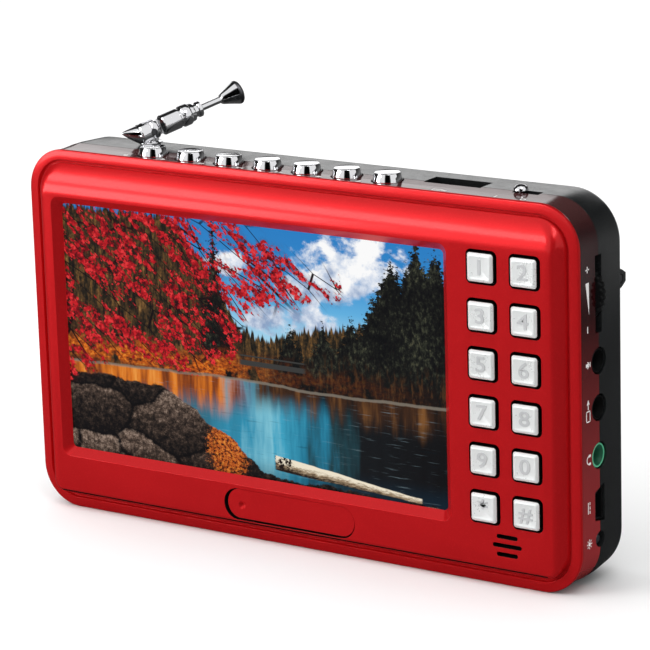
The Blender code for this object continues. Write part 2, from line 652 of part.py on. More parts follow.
def antenna():
    """Turret and telescopic tube. Local Z of the tilt axis runs along the antenna."""
    swivel = bpy.data.objects.new("antenna_swivel_axis", None)
    swivel.location = Vector((ANTENNA_X, ANTENNA_Y, ANTENNA_HINGE_Z)) * MM
    swivel.rotation_euler = (0, 0, math.radians(ANTENNA_AZIMUTH))
    PARTS.objects.link(swivel)
    tilt = bpy.data.objects.new("antenna_tilt_axis", None)
    tilt.parent = swivel
    tilt.rotation_euler = (0, math.radians(90 - ANTENNA_ELEVATION), 0)
    PARTS.objects.link(tilt)
    bpy.context.view_layer.update()

    head_profile = [(0, 2.5), (0.96, 2.31), (1.77, 1.77), (2.2, 1.18), (2.25, 0.1), (2.05, -0.1),
                    (2.25, -0.3), (2.25, -2.5), (2.0, -2.7), (0, -2.7)]
    turret = turned("antenna_turret", head_profile, "chrome", steps=20)
    turret.parent = tilt
    nose = leaning_cone("add_turret_nose", NOSE_RINGS)
    nose.parent = tilt
    foot = turned("add_turret_foot", [(0, -1.0), (1.8, -1.0), (1.8, -2.1), (2.7, -2.3), (2.7, -2.5),
                                      (1.9, -2.6), (1.9, -5.8), (2.45, -5.8), (2.45, -6.8), (0, -6.8)], None)
    foot.location = swivel.location
    slot = box("cut_turret_slot", (-4.0, -1.05, -1.95), (1.95, 1.05, 4.0), None)
    slot.parent = tilt
    bore = cylinder("cut_turret_bore", "Y", (0, -4.0, 0), 8.0, 0.75, None, steps=12)
    bore.parent = tilt
    join(turret, nose, foot)
    cut(turret, slot, bore)

    pin = cylinder("antenna_pin", "Y", (0, -2.15, 0), 4.3, 0.6, "screw_steel", steps=12)
    pin.parent = tilt

    tube_profile = [(1.7, 10.6), (1.95, 10.6), (2.05, 9.7), (2.35, 9.4), (2.35, 7.8), (1.95, 7.5),
                    (1.95, 7.1), (TUBE_RADIUS, 6.9), (TUBE_RADIUS, 2.9), (0, 2.9)]
    tube = turned("antenna_tube", [(0, 4.1), (1.7, 4.1)] + tube_profile, "chrome")
    tube.parent = tilt
    tongue = cylinder("add_tongue_eye", "Y", (0, -0.75, 0), 1.5, 1.6, None, steps=16)
    tongue.parent = tilt
    strap = box("add_tongue_strap", (-1.5, -0.75, 0.0), (1.5, 0.75, 3.4), None)
    strap.parent = tilt
    hole = cylinder("cut_tongue", "Y", (0, -3.0, 0), 6.0, 0.75, None, steps=12)
    hole.parent = tilt
    join(tube, tongue, strap)
    cut(tube, hole)

    section = turned("antenna_section", [(1.0, 6.6), (1.0, 12.5), (1.7, 12.5), (1.7, 11.7), (1.4, 11.5),
                                         (1.4, 6.6), (1.0, 6.6)], "chrome", steps=20)
    section.parent = tilt
    rod = turned("antenna_rod", [(0, 22.7), (1.5, 22.6), (2.3, 22.3), (2.6, 21.9), (2.55, 21.5),
                                 (1.8, 19.6), (1.15, 17.8), (0.7, 17.6), (0.7, 10.8), (0, 10.8)],
                 "chrome", steps=20)
    rod.parent = tilt


# ---------------------------------------------------------------- stand

def stand():
    """U-shaped rear stand, folded flat against the rear cover."""
    origin = (0.0, STAND_AXIS_Y, STAND_AXIS_Z)
    half, foot = STAND_HALF_WIDTH, STAND_FOOT_Z - STAND_AXIS_Z
    inner = half - STAND_ARM
    centres = [(-half + 6.0, foot + 6.0, 180), (half - 6.0, foot + 6.0, 270)]
    outline = [(-half, 0.0)]
    for x, z, start in centres:
        for step in range(7):
            angle = math.radians(start + 90 * step / 6)
            outline.append((x + 6.0 * math.cos(angle), z + 6.0 * math.sin(angle)))
    outline.append((half, 0.0))
    plate_y = (-1.8, 0.4)
    made = plate("stand", outline, *plate_y, "black_casing", origin=origin)
    notch = rounded_outline(-inner, inner, foot + 7.0, 8.0, 3.0, steps=4)
    cut(made, plate("cut_stand_notch", notch, -4.0, 4.0, None, origin=origin))
    for side, name in ((-1, "left"), (1, "right")):
        start = min(side * half, side * inner)
        join(made, cylinder(f"add_stand_eye_{name}", "X", (start, 0.0, 0.0), STAND_ARM, 1.75, None,
                            steps=16, origin=origin))
        cut(made, cylinder(f"cut_stand_eye_{name}", "X", (start - 1.0, 0.0, 0.0), STAND_ARM + 2.0, 0.95,
                           None, steps=12, origin=origin))
        low = min(side * (inner + 0.6), side * (LUG_X[1] - 0.1))
        high = max(side * (inner + 0.6), side * (LUG_X[1] - 0.1))
        cylinder(f"stand_pin_{name}", "X", (low, 0.0, 0.0), high - low, 0.8, "screw_steel", steps=12,
                 origin=origin)


# ---------------------------------------------------------------- assembly

def build():
    cutters = parting_cutters()
    front_bezel()
    middle_frame(cutters)
    rear_cover(cutters)
    badge_plate()
    battery_door()
    for index, (x, z) in enumerate(SCREW_PLACES, start=1):
        casing_screw(index, x, z)
    screen()
    key_pad()
    top_controls()
    power_switch()
    volume_control()
    jack("mic_jack", JACK_HEIGHTS["mic_jack"], "black_plastic")
    jack("av_out_jack", JACK_HEIGHTS["av_out_jack"], "black_plastic")
    jack("line_jack", JACK_HEIGHTS["line_jack"], "green_plastic")
    dc_socket()
    led_lamp()
    usb_socket()
    electronics()
    antenna()
    stand()


build()
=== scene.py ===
"""The looks of the portable television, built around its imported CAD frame.

Everything is in the frame of the CAD: metres, +Z up, the screen faces -Y. Mesh code works in
millimetres and MM turns them into metres. Pieces are placed from the boxes of the CAD nodes.
"""
import math

import bmesh
import bpy
from mathutils import Matrix, Vector


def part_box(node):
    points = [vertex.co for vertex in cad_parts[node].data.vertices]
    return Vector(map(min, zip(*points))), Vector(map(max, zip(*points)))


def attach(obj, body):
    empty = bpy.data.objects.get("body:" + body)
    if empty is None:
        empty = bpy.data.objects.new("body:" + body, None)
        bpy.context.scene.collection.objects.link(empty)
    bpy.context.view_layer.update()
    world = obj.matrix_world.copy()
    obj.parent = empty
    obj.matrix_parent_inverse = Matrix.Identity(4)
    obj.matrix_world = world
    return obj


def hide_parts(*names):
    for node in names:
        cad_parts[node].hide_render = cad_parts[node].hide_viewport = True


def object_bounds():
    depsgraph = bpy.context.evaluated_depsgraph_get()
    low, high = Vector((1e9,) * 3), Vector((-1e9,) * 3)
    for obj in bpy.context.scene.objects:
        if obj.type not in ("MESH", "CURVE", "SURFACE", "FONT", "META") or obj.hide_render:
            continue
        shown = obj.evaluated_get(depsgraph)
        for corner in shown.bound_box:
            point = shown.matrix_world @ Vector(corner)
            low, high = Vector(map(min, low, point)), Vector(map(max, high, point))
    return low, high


MM = 0.001
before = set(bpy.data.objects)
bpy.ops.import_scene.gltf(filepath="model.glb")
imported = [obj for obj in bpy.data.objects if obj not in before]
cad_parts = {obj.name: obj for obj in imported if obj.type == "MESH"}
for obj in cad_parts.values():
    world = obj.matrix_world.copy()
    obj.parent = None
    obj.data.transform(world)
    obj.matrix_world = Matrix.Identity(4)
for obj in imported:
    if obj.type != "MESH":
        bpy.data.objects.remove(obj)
CAD_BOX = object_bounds()


def low(node):
    """Lowest corner of a CAD node, in mm."""
    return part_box(node)[0] / MM


def high(node):
    """Highest corner of a CAD node, in mm."""
    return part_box(node)[1] / MM


def middle(node):
    return (low(node) + high(node)) / 2


# Casing, read from the frame
LEFT, RIGHT = low("front_bezel").x, high("front_bezel").x
BOTTOM, TOP = low("front_bezel").z, high("front_bezel").z
FRONT_Y = low("front_bezel").y
RIM_Y = FRONT_Y + 2.4
REAR_Y = high("battery_door").y
SPLIT_Y = (high("middle_frame").y + low("rear_cover").y) / 2
PANEL_BACK_Y = FRONT_Y + 1.7
CORNER_RADIUS = 9.0
CORNER_STEPS = 16
GAP = 0.3

# Screen window
LENS_MARGIN = 1.6
WINDOW = (low("display_lens").x + LENS_MARGIN, high("display_lens").x - LENS_MARGIN,
          low("display_lens").z + LENS_MARGIN, high("display_lens").z - LENS_MARGIN)
WINDOW_CHAMFER = 1.7

KEYS = [f"key_{number:02d}" for number in range(1, 13)]
KEY_HALF = 2.9
KEY_HOLE_HALF = 3.5
KEY_FLANGE = 4.1                   # half width of the flange behind the panel
KEY_PROUD = 0.9
KEYPAD = (41.0, 62.0, 70.5)        # the keys and slots lie between these X, and below this Z
SLOT_LENGTHS = (4.8, 6.6, 4.8)     # the speaker slots under the keys
SLOT_X, SLOT_TOP_Z, SLOT_PITCH = 51.6, 11.05, 1.85
RIBS = 28                          # ribs round the volume wheel
DIMPLE = (-12.75, 7.9)             # X and Z of the dimple in the badge
PIN_X = (61.2, 66.2)               # reach of a stand pin's bore
EAR_X = (62.2, 65.2)               # reach of a stand ear
KEY_MARKS = ("1", "2", "3", "4", "5", "6", "7", "8", "9", "0", "*", "#")

TOP_BUTTONS = [f"top_button_{number}" for number in range(1, 8)]
BUTTON_RADIUS = 3.05
BUTTON_PROUD = 1.7
PRINT = 0.03                       # thickness of the printed signs
SIGN_Y = SPLIT_Y - 4.1

TOP_SIGN_Y = SPLIT_Y - 5.4
SWITCH_SLOT = (48.4, 54.4, 1.1)    # left and right X, and half width
USB_SLOT = (6.6, 2.5)              # half width and half depth
WHEEL_SLOT = (1.15, 7.8)           # half width and half length
CUT_INSIDE, CUT_OUTSIDE = 4.0, 2.0                # how far cutters reach to each side of a wall's face
JACK_HOLE_RADIUS, LAMP_HOLE_RADIUS = 2.75, 1.65
JACKS = ("mic_jack", "av_out_jack", "line_jack")
SCREWS = [f"casing_screw_{number}" for number in range(1, 5)]

HINGE = Vector((-44.5, 3.6, 82.0))             # where the antenna's tilt axis crosses its swivel axis
ANTENNA_AZIMUTH = 62.0
ANTENNA_ELEVATION = 15.6


# ---------------------------------------------------------------- mesh helpers

def rounded_outline(left, right, bottom, top, radius, steps=CORNER_STEPS):
    """Corner arcs of a rounded rectangle as (x, z) points, anticlockwise seen from the front."""
    centres = [(right - radius, top - radius, 0), (left + radius, top - radius, 90),
               (left + radius, bottom + radius, 180), (right - radius, bottom + radius, 270)]
    points = []
    for x, z, start in centres:
        for step in range(steps + 1):
            angle = math.radians(start + 90 * step / steps)
            points.append((x + radius * math.cos(angle), z + radius * math.sin(angle)))
    return points


def casing_outline(inset, radius=None, top_inset=None, bottom_inset=None):
    """The casing's outline, moved in by inset all round, or further at the top and bottom."""
    top = TOP - (inset if top_inset is None else top_inset)
    bottom = BOTTOM + (inset if bottom_inset is None else bottom_inset)
    corner = CORNER_RADIUS - inset if radius is None else radius
    return rounded_outline(LEFT + inset, RIGHT - inset, bottom, top, corner)


def casing_steps(*steps):
    """Sections of the casing from pairs of y and inset."""
    return [(y, casing_outline(inset)) for y, inset in steps]


def skin(sections, ring=False, bm=None):
    """Join loops of points (x, y, z) into a closed skin, capped at its ends or joined in a ring."""
    bm = bm or bmesh.new()
    loops = [[bm.verts.new(point) for point in section] for section in sections]
    pairs = list(zip(loops, loops[1:]))
    if ring:
        pairs.append((loops[-1], loops[0]))
    for near, far in pairs:
        for index in range(len(near)):
            after = (index + 1) % len(near)
            bm.faces.new((near[index], near[after], far[after], far[index]))
    if not ring:
        bm.faces.new(loops[0])
        bm.faces.new(list(reversed(loops[-1])))
    return bm


def along_y(sections, ring=False, bm=None):
    """A skin from sections of (y, outline), each outline a list of (x, z)."""
    return skin([[(x, y, z) for x, z in outline] for y, outline in sections], ring, bm)


def along_x(outline, low_x, high_x, bm=None):
    """A prism along X with an outline of (y, z) corners."""
    return skin([[(x, y, z) for y, z in outline] for x in (low_x, high_x)], bm=bm)


def along_z(outline, low_z, high_z, bm=None):
    """A prism along Z with an outline of (x, y) corners."""
    return skin([[(x, y, z) for x, y in outline] for z in (low_z, high_z)], bm=bm)


def circle(radius, steps):
    return [(radius * math.cos(2 * math.pi * i / steps), radius * math.sin(2 * math.pi * i / steps))
            for i in range(steps)]


def lathe(profile, steps=48, bm=None, matrix=None):
    """A piece turned about local Z from a profile of (radius, height), closed on the axis or as a ring."""
    bm = bm or bmesh.new()
    rings = []
    for radius, height in profile:
        if radius == 0:
            points = [bm.verts.new((0.0, 0.0, height))]
        else:
            points = [bm.verts.new((x, y, height)) for x, y in circle(radius, steps)]
        rings.append(points)
    pairs = list(zip(rings, rings[1:]))
    if profile[0][0] and profile[-1][0]:
        pairs.append((rings[-1], rings[0]))
    for first, second in pairs:
        for index in range(steps):
            after = (index + 1) % steps
            corners = [first[index % len(first)], first[after % len(first)],
                       second[after % len(second)], second[index % len(second)]]
            unique = list(dict.fromkeys(corners))
            if len(unique) > 2:
                bm.faces.new(unique)
    if matrix is not None:
        bmesh.ops.transform(bm, matrix=matrix, verts=[v for ring in rings for v in ring])
    return bm


def block(low_corner, high_corner, bm=None):
    bm = bm or bmesh.new()
    made = bmesh.ops.create_cube(bm, size=1.0)["verts"]
    size = [high_corner[i] - low_corner[i] for i in range(3)]
    centre = [(high_corner[i] + low_corner[i]) / 2 for i in range(3)]
    bmesh.ops.scale(bm, vec=size, verts=made)
    bmesh.ops.translate(bm, vec=centre, verts=made)
    return bm


AXIS_TURN = {
    "X": Matrix.Rotation(math.pi / 2, 4, "Y"),
    "Y": Matrix.Rotation(-math.pi / 2, 4, "X"),
    "Z": Matrix.Identity(4),
}


def rod(axis, start, length, radius, end_radius=None, bm=None):
    """A cylinder or cone from the point start, running length along the +axis."""
    far = radius if end_radius is None else end_radius
    matrix = Matrix.Translation(start) @ AXIS_TURN[axis]
    return lathe([(0, 0), (radius, 0), (far, length), (0, length)], 40, bm, matrix)


def moved(bm, matrix):
    bmesh.ops.transform(bm, matrix=matrix, verts=bm.verts)
    return bm


def placed(name, data):
    """A new object in the scene. data may also be a bmesh, which is used up."""
    if isinstance(data, bmesh.types.BMesh):
        mesh = bpy.data.meshes.new(name)
        data.to_mesh(mesh)
        data.free()
        data = mesh
    made = bpy.data.objects.new(name, data)
    bpy.context.scene.collection.objects.link(made)
    return made


def temporary(bm):
    bmesh.ops.recalc_face_normals(bm, faces=bm.faces)
    return placed("temporary", bm)


def combined(bm, other, operation):
    """Boolean of two closed bmeshes, in mm. Shapes inside other don't overlap each other."""
    target, tool = temporary(bm), temporary(other)
    modifier = target.modifiers.new("combine", "BOOLEAN")
    modifier.operation = operation
    modifier.solver = "EXACT"
    modifier.object = tool
    bpy.context.view_layer.update()
    graph = bpy.context.evaluated_depsgraph_get()
    mesh = bpy.data.meshes.new_from_object(target.evaluated_get(graph))
    made = bmesh.new()
    made.from_mesh(mesh)
    for item in (target, tool):
        old = item.data
        bpy.data.objects.remove(item)
        bpy.data.meshes.remove(old)
    bpy.data.meshes.remove(mesh)
    return made


def cut(bm, other):
    return combined(bm, other, "DIFFERENCE")


def join(bm, other):
    return combined(bm, other, "UNION")


def round_edges(item, width, angle, segments=2):
    edge = item.modifiers.new("edge", "BEVEL")
    edge.width = width * MM
    edge.segments = segments
    edge.limit_method = "ANGLE"
    edge.angle_limit = math.radians(angle)
    edge.use_clamp_overlap = True
    edge.harden_normals = True


def piece(name, bm, body, materials, slot=None, replaces=(), smooth=30.0, bevel=0.0, chooser=None,
          segments=2):
    """Turn a bmesh in mm into a piece that rides on a body. chooser gives a face's material."""
    bmesh.ops.remove_doubles(bm, verts=bm.verts, dist=0.0005)
    bmesh.ops.recalc_face_normals(bm, faces=bm.faces)
    if chooser:
        for face in bm.faces:
            face.material_index = chooser(face.calc_center_median(), face.normal)
    bmesh.ops.scale(bm, vec=(MM, MM, MM), verts=bm.verts)
    made = placed(name, bm)
    made.data.shade_smooth()
    made.data.set_sharp_from_angle(angle=math.radians(smooth))
    for item in materials if isinstance(materials, list) else [materials]:
        made.data.materials.append(item)
    if bevel:
        round_edges(made, bevel, smooth, segments)
    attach(made, body)
    if replaces:
        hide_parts(*replaces)
    return made


# ---------------------------------------------------------------- shader nodes


def srgb(text):
    """A colour written as six hex digits, in linear light."""
    levels = [int(text[i:i + 2], 16) / 255 for i in (0, 2, 4)]
    return tuple(c / 12.92 if c <= 0.04045 else ((c + 0.055) / 1.055) ** 2.4 for c in levels)


class Graph:
    """Short names for the shader nodes that the materials are made of."""

    def __init__(self, name):
        self.material = bpy.data.materials.new(name)
        self.material.use_nodes = True
        self.tree = self.material.node_tree
        self.shader = self.tree.nodes["Principled BSDF"]
        self.output = self.tree.nodes["Material Output"]

    @classmethod
    def of_tree(cls, tree):
        made = cls.__new__(cls)
        made.tree = tree
        return made

    def node(self, kind, inputs=(), output=0, **settings):
        made = self.tree.nodes.new(kind)
        for key, value in settings.items():
            setattr(made, key, value)
        for key, value in dict(inputs).items():
            self.feed(made.inputs[key], value)
        return made.outputs[output]

    def feed(self, socket, value):
        if isinstance(value, str):
            value = srgb(value)
        if isinstance(value, bpy.types.NodeSocket):
            self.tree.links.new(value, socket)
        elif socket.type == "RGBA" and len(value) == 3:
            socket.default_value = (*value, 1.0)
        else:
            socket.default_value = value

    def math(self, operation, first, second=0.0):
        return self.node("ShaderNodeMath", {0: first, 1: second}, operation=operation)

    def add(self, first, second):
        return self.math("ADD", first, second)

    def sub(self, first, second):
        return self.math("SUBTRACT", first, second)

    def times(self, first, second):
        return self.math("MULTIPLY", first, second)

    def most(self, first, second):
        return self.math("MAXIMUM", first, second)

    def step(self, value, low, high, to_low=0.0, to_high=1.0):
        """A smooth step of value, from to_low at low to to_high at high."""
        return self.node("ShaderNodeMapRange",
                         {"Value": value, "From Min": low, "From Max": high,
                          "To Min": to_low, "To Max": to_high},
                         interpolation_type="SMOOTHSTEP")

    def mix(self, factor, first, second):
        made = self.tree.nodes.new("ShaderNodeMix")
        made.data_type = "RGBA"
        self.feed(made.inputs[0], factor)
        self.feed(made.inputs[6], first)
        self.feed(made.inputs[7], second)
        return made.outputs[2]

    def ramp(self, factor, *stops):
        made = self.tree.nodes.new("ShaderNodeValToRGB")
        elements = made.color_ramp.elements
        while len(elements) < len(stops):
            elements.new(1.0)
        for element, (place, colour) in zip(elements, stops):
            element.position = place
            element.color = (*(srgb(colour) if isinstance(colour, str) else colour), 1.0)
        self.feed(made.inputs[0], factor)
        return made.outputs[0]

    def noise(self, vector, scale, detail=3.0, roughness=0.5, distortion=0.0, output=0):
        return self.node("ShaderNodeTexNoise",
                         {"Vector": vector, "Scale": scale, "Detail": detail,
                          "Roughness": roughness, "Distortion": distortion}, output)

    def cells(self, vector, scale, output="Distance", feature="F1", randomness=1.0):
        return self.node("ShaderNodeTexVoronoi",
                         {"Vector": vector, "Scale": scale, "Randomness": randomness}, output,
                         feature=feature)

    def millimetres(self):
        return self.mapping(self.node("ShaderNodeTexCoord", output="Object"), scale=(1 / MM, 1 / MM, 1 / MM))

    def shade(self, inputs):
        """Set the shader's inputs, to numbers, colours or other nodes."""
        for key, value in inputs.items():
            self.feed(self.shader.inputs[key], value)

    def highest(self, values):
        top = values[0]
        for value in values[1:]:
            top = self.most(top, value)
        return top

    def join(self, x, y):
        return self.node("ShaderNodeCombineXYZ", {0: x, 1: y})

    def split(self, vector):
        made = self.tree.nodes.new("ShaderNodeSeparateXYZ")
        self.feed(made.inputs[0], vector)
        return made.outputs

    def mapping(self, vector, scale=(1, 1, 1), rotation=(0, 0, 0), location=(0, 0, 0)):
        return self.node("ShaderNodeMapping", {"Vector": vector, "Scale": scale,
                                               "Rotation": rotation, "Location": location})


# ---------------------------------------------------------------- the picture on the screen


PICTURE_WIDTH = 1.763              # the picture is this wide and 1 high


def profile_of(g, u, *points):
    """A height that changes along u, as (u, height) points."""
    return g.ramp(g.times(u, 1 / PICTURE_WIDTH),
                  *[(at / PICTURE_WIDTH, (level, level, level)) for at, level in points])


def puff(g, u, v, centre, half):
    """How deep a point lies in an oval cloud: 1 in its middle, 0 at its edge."""
    across = g.math("POWER", g.times(g.sub(u, centre[0]), 1 / half[0]), 2.0)
    up = g.math("POWER", g.times(g.sub(v, centre[1]), 1 / half[1]), 2.0)
    return g.sub(1.0, g.add(across, up))


def sky(g, u, v, place):
    blue = g.ramp(g.step(v, 0.5, 1.0), (0.0, "a9d9ef"), (0.35, "63b2e2"),
                  (0.7, "3b93d3"), (1.0, "2b80c6"))
    clouds = (((1.36, 0.88), (0.26, 0.13)), ((1.22, 0.79), (0.2, 0.07)),
              ((1.08, 0.645), (0.24, 0.07)), ((0.8, 0.84), (0.12, 0.05)))
    depth = g.highest([puff(g, u, v, centre, half) for centre, half in clouds])
    curl = g.sub(g.noise(g.mapping(place, scale=(1.0, 1.3, 1.0)), 8.0, 7.0, 0.6, 0.2), 0.5)
    body = g.add(g.most(depth, -1.2), g.times(curl, 4.5))
    white = g.ramp(g.add(g.noise(place, 11.0, 6.0, 0.6), g.times(g.sub(v, 0.8), 0.6)),
                   (0.32, "8fa6c8"), (0.48, "d4deee"), (0.6, "ffffff"))
    return g.mix(g.step(body, -0.05, 0.75), blue, white)


def spruce(g, u, v, centre, top, width, rough):
    """Mask of a conifer: a triangle whose sides are broken up by rough."""
    side = g.add(g.math("ABSOLUTE", g.sub(u, centre)), g.times(rough, 0.16))
    reach = g.times(g.sub(top, v), width)
    return g.step(g.sub(reach, side), -0.002, 0.006)


def forest(g, u, v, place, colour, coarse, rough):
    """Dark mixed wood that fills the left, dips in the middle and rises to conifers on the right."""
    ragged = g.times(g.sub(g.noise(g.join(u, 0.0), 40.0, 3.0, 0.7), 0.5), 0.2)
    crest = profile_of(g, u, (0.0, 1.0), (0.52, 1.0), (0.7, 0.8), (0.82, 0.6), (0.95, 0.56), (1.15, 0.62),
                       (1.4, 0.66), (1.52, 0.8), (PICTURE_WIDTH, 0.86))
    trunks = g.noise(g.mapping(place, scale=(1.0, 0.22, 1.0)), 46.0, 4.0, 0.7)
    bark = g.ramp(g.add(g.times(trunks, 0.75), g.times(g.noise(place, 60.0, 4.0, 0.7), 0.3)),
                  (0.38, "0b0c09"), (0.48, "231e13"), (0.56, "4c381f"),
                  (0.64, "77552b"), (0.76, "b08a54"))
    colour = g.mix(g.step(g.sub(g.add(crest, ragged), v), -0.004, 0.012), colour, bark)
    needle = g.ramp(g.add(g.noise(g.mapping(place, scale=(1.0, 0.6, 1.0)), 60.0, 5.0, 0.75),
                          g.times(coarse, 0.5)),
                    (0.38, "040504"), (0.52, "12130e"), (0.62, "2f3226"),
                    (0.72, "5d5a44"), (0.85, "8a7f62"))
    spruces = ((1.72, 0.98, 0.5), (1.64, 1.01, 0.42), (1.53, 0.93, 0.52), (1.44, 0.74, 0.6),
               (1.35, 0.68, 0.6), (1.22, 0.64, 0.5), (1.07, 0.62, 0.5), (0.72, 0.98, 0.16))
    trees = g.highest([spruce(g, u, v, *tree, rough) for tree in spruces])
    colour = g.mix(trees, colour, needle)
    low = g.times(g.step(v, 0.56, 0.44), g.step(u, 0.9, 1.3, 0.15, 0.8))
    colour = g.mix(low, colour, g.mix(g.step(trunks, 0.5, 0.62), "0d0c09", "4a3018"))
    glow = g.ramp(g.noise(g.mapping(place, scale=(1, 1.4, 1)), 42.0, 6.0, 0.7),
                  (0.36, "4a200c"), (0.48, "b5500f"), (0.58, "e8791c"), (0.7, "f7b04a"))
    thinning = profile_of(g, u, (0.0, 0.9), (0.7, 0.95), (0.85, 0.45), (1.0, 0.12), (PICTURE_WIDTH, 0.0))
    bank = g.times(g.step(v, 0.36, 0.4), thinning)
    bank = g.times(bank, g.step(g.add(v, g.times(coarse, 0.15)), 0.5, 0.43))
    colour = g.mix(g.times(bank, g.step(g.noise(place, 14.0, 3.0), 0.36, 0.48)), colour, glow)
    span = g.times(g.step(u, 0.82, 0.84), g.step(u, 1.14, 1.12))
    deck = g.step(g.math("ABSOLUTE", g.sub(v, 0.455)), 0.012, 0.008)
    rail = g.step(g.math("ABSOLUTE", g.sub(v, 0.483)), 0.004, 0.002)
    return g.mix(g.times(span, g.most(deck, rail)), colour, "3a3a38")


def water(g, u, v, colour, coarse):
    """Still water: orange, turquoise and black reflections, drawn out downwards."""
    streak = g.noise(g.join(g.times(u, 9.0), g.times(v, 1.2)), 1.8, 4.0, 0.55)
    ripple = g.noise(g.join(g.times(u, 1.5), g.times(v, 22.0)), 5.0, 5.0, 0.6)
    across = g.add(g.times(u, 1 / PICTURE_WIDTH), g.times(g.sub(streak, 0.5), 0.26))
    deep = g.ramp(across, (0.36, "2f6f86"), (0.46, "2f8fb0"), (0.53, "7fc4d6"),
                  (0.58, "3ea3c3"), (0.65, "237a98"), (0.71, "1d3e46"),
                  (0.77, "121517"), (1.0, "0a0a09"))
    fire = g.ramp(streak, (0.3, "2a1408"), (0.43, "8e4316"), (0.55, "d9761f"),
                  (0.68, "f2a24a"))
    deep = g.mix(g.times(g.step(g.add(v, g.times(streak, 0.2)), 0.3, 0.42), g.step(across, 0.5, 0.42)),
                 deep, fire)
    brown = g.ramp(streak, (0.35, "0d0b08"), (0.52, "3f2614"), (0.66, "7a5028"))
    deep = g.mix(g.times(g.step(g.add(v, g.times(streak, 0.12)), 0.3, 0.42), g.step(across, 0.45, 0.54)),
                 deep, brown)
    deep = g.mix(g.step(ripple, 0.58, 0.8, 0.0, 0.35), deep, "a9c4cf")
    deep = g.mix(g.step(ripple, 0.42, 0.26, 0.0, 0.4), deep, "06141a")
    deep = g.mix(g.step(v, 0.1, 0.0, 0.0, 0.5), deep, "0b2a3c")
    line = profile_of(g, u, (0.0, 0.36), (0.8, 0.385), (1.2, 0.375), (PICTURE_WIDTH, 0.39))
    line = g.add(line, g.times(coarse, 0.02))
    colour = g.mix(g.step(g.sub(line, v), -0.003, 0.004), colour, deep)
    edge = g.step(g.math("ABSOLUTE", g.sub(line, v)), 0.008, 0.003)
    return g.mix(g.times(edge, 0.6), colour, "8d8578")


def shore(g, u, v, place, colour, coarse):
    """Dark boulders in the near left, with orange leaves caught between them."""
    bend = g.node("ShaderNodeVectorMath", {0: g.noise(place, 5.0, 3.0, output=1), 1: (0.11, 0.11, 0.0)},
                  operation="MULTIPLY")
    squat = g.mapping(g.node("ShaderNodeVectorMath", {0: place, 1: bend}, operation="ADD"),
                      scale=(1.0, 1.7, 1.0))
    crack = g.cells(squat, 3.1, feature="DISTANCE_TO_EDGE")
    heart = g.split(g.cells(squat, 3.1, "Position"))
    rise = g.sub(g.split(squat)[1], heart[1])
    skin_tone = g.noise(place, 38.0, 8.0, 0.85)
    lit = g.add(g.times(rise, 1.9), g.add(g.times(g.sub(skin_tone, 0.5), 3.4), 0.36))
    rock = g.ramp(lit, (0.0, "0d0a08"), (0.35, "30261f"), (0.65, "5e4d42"),
                  (0.95, "a08b7c"))
    gap = g.add(crack, g.times(g.sub(skin_tone, 0.5), 0.12))
    rock = g.mix(g.step(gap, 0.06, 0.0), rock, "080604")
    litter = g.ramp(g.noise(place, 80.0, 4.0, 0.7), (0.4, "2a1208"), (0.5, "c4581a"),
                    (0.65, "f39a3c"))
    near = g.add(puff(g, u, v, (0.76, 0.1), (0.1, 0.13)), g.times(g.sub(skin_tone, 0.5), 7.0))
    rock = g.mix(g.times(g.step(near, -0.1, 0.5), 0.85), rock, litter)
    height = profile_of(g, u, (0.0, 0.32), (0.45, 0.31), (0.6, 0.23), (0.76, 0.15), (0.9, 0.05), (1.0, 0.01),
                        (PICTURE_WIDTH, 0.0))
    height = g.add(height, g.add(g.times(coarse, 0.1), g.times(g.sub(skin_tone, 0.5), 0.03)))
    colour = g.mix(g.step(g.sub(height, v), -0.003, 0.005), colour, rock)
    return colour


def branch(g, u, v, place, colour):
    """A pale fallen branch in the near water, thicker at its left."""
    wave = g.times(g.sub(g.noise(g.join(u, 3.0), 6.0, 3.0), 0.5), 0.02)
    middle_line = g.add(g.add(0.07, g.times(g.sub(u, 1.0), -0.085)), wave)
    away = g.math("ABSOLUTE", g.sub(v, middle_line))
    girth = g.step(u, 0.98, 1.66, 0.03, 0.011)
    ends = g.times(g.step(u, 0.975, 0.985), g.step(u, 1.65, 1.64))
    grain = g.ramp(g.add(g.times(g.sub(v, middle_line), 14.0),
                         g.noise(g.mapping(place, scale=(1, 4, 1)), 30.0, 5.0, 0.75)),
                   (0.2, "241a12"), (0.42, "9a8468"), (0.62, "f1e6cf"))
    knot = g.times(g.step(u, 1.07, 1.05), g.step(g.noise(place, 55.0, 4.0, 0.7), 0.46, 0.54))
    grain = g.mix(knot, grain, "1c120b")
    return g.mix(g.times(g.step(g.sub(girth, away), -0.001, 0.003), ends), colour, grain)


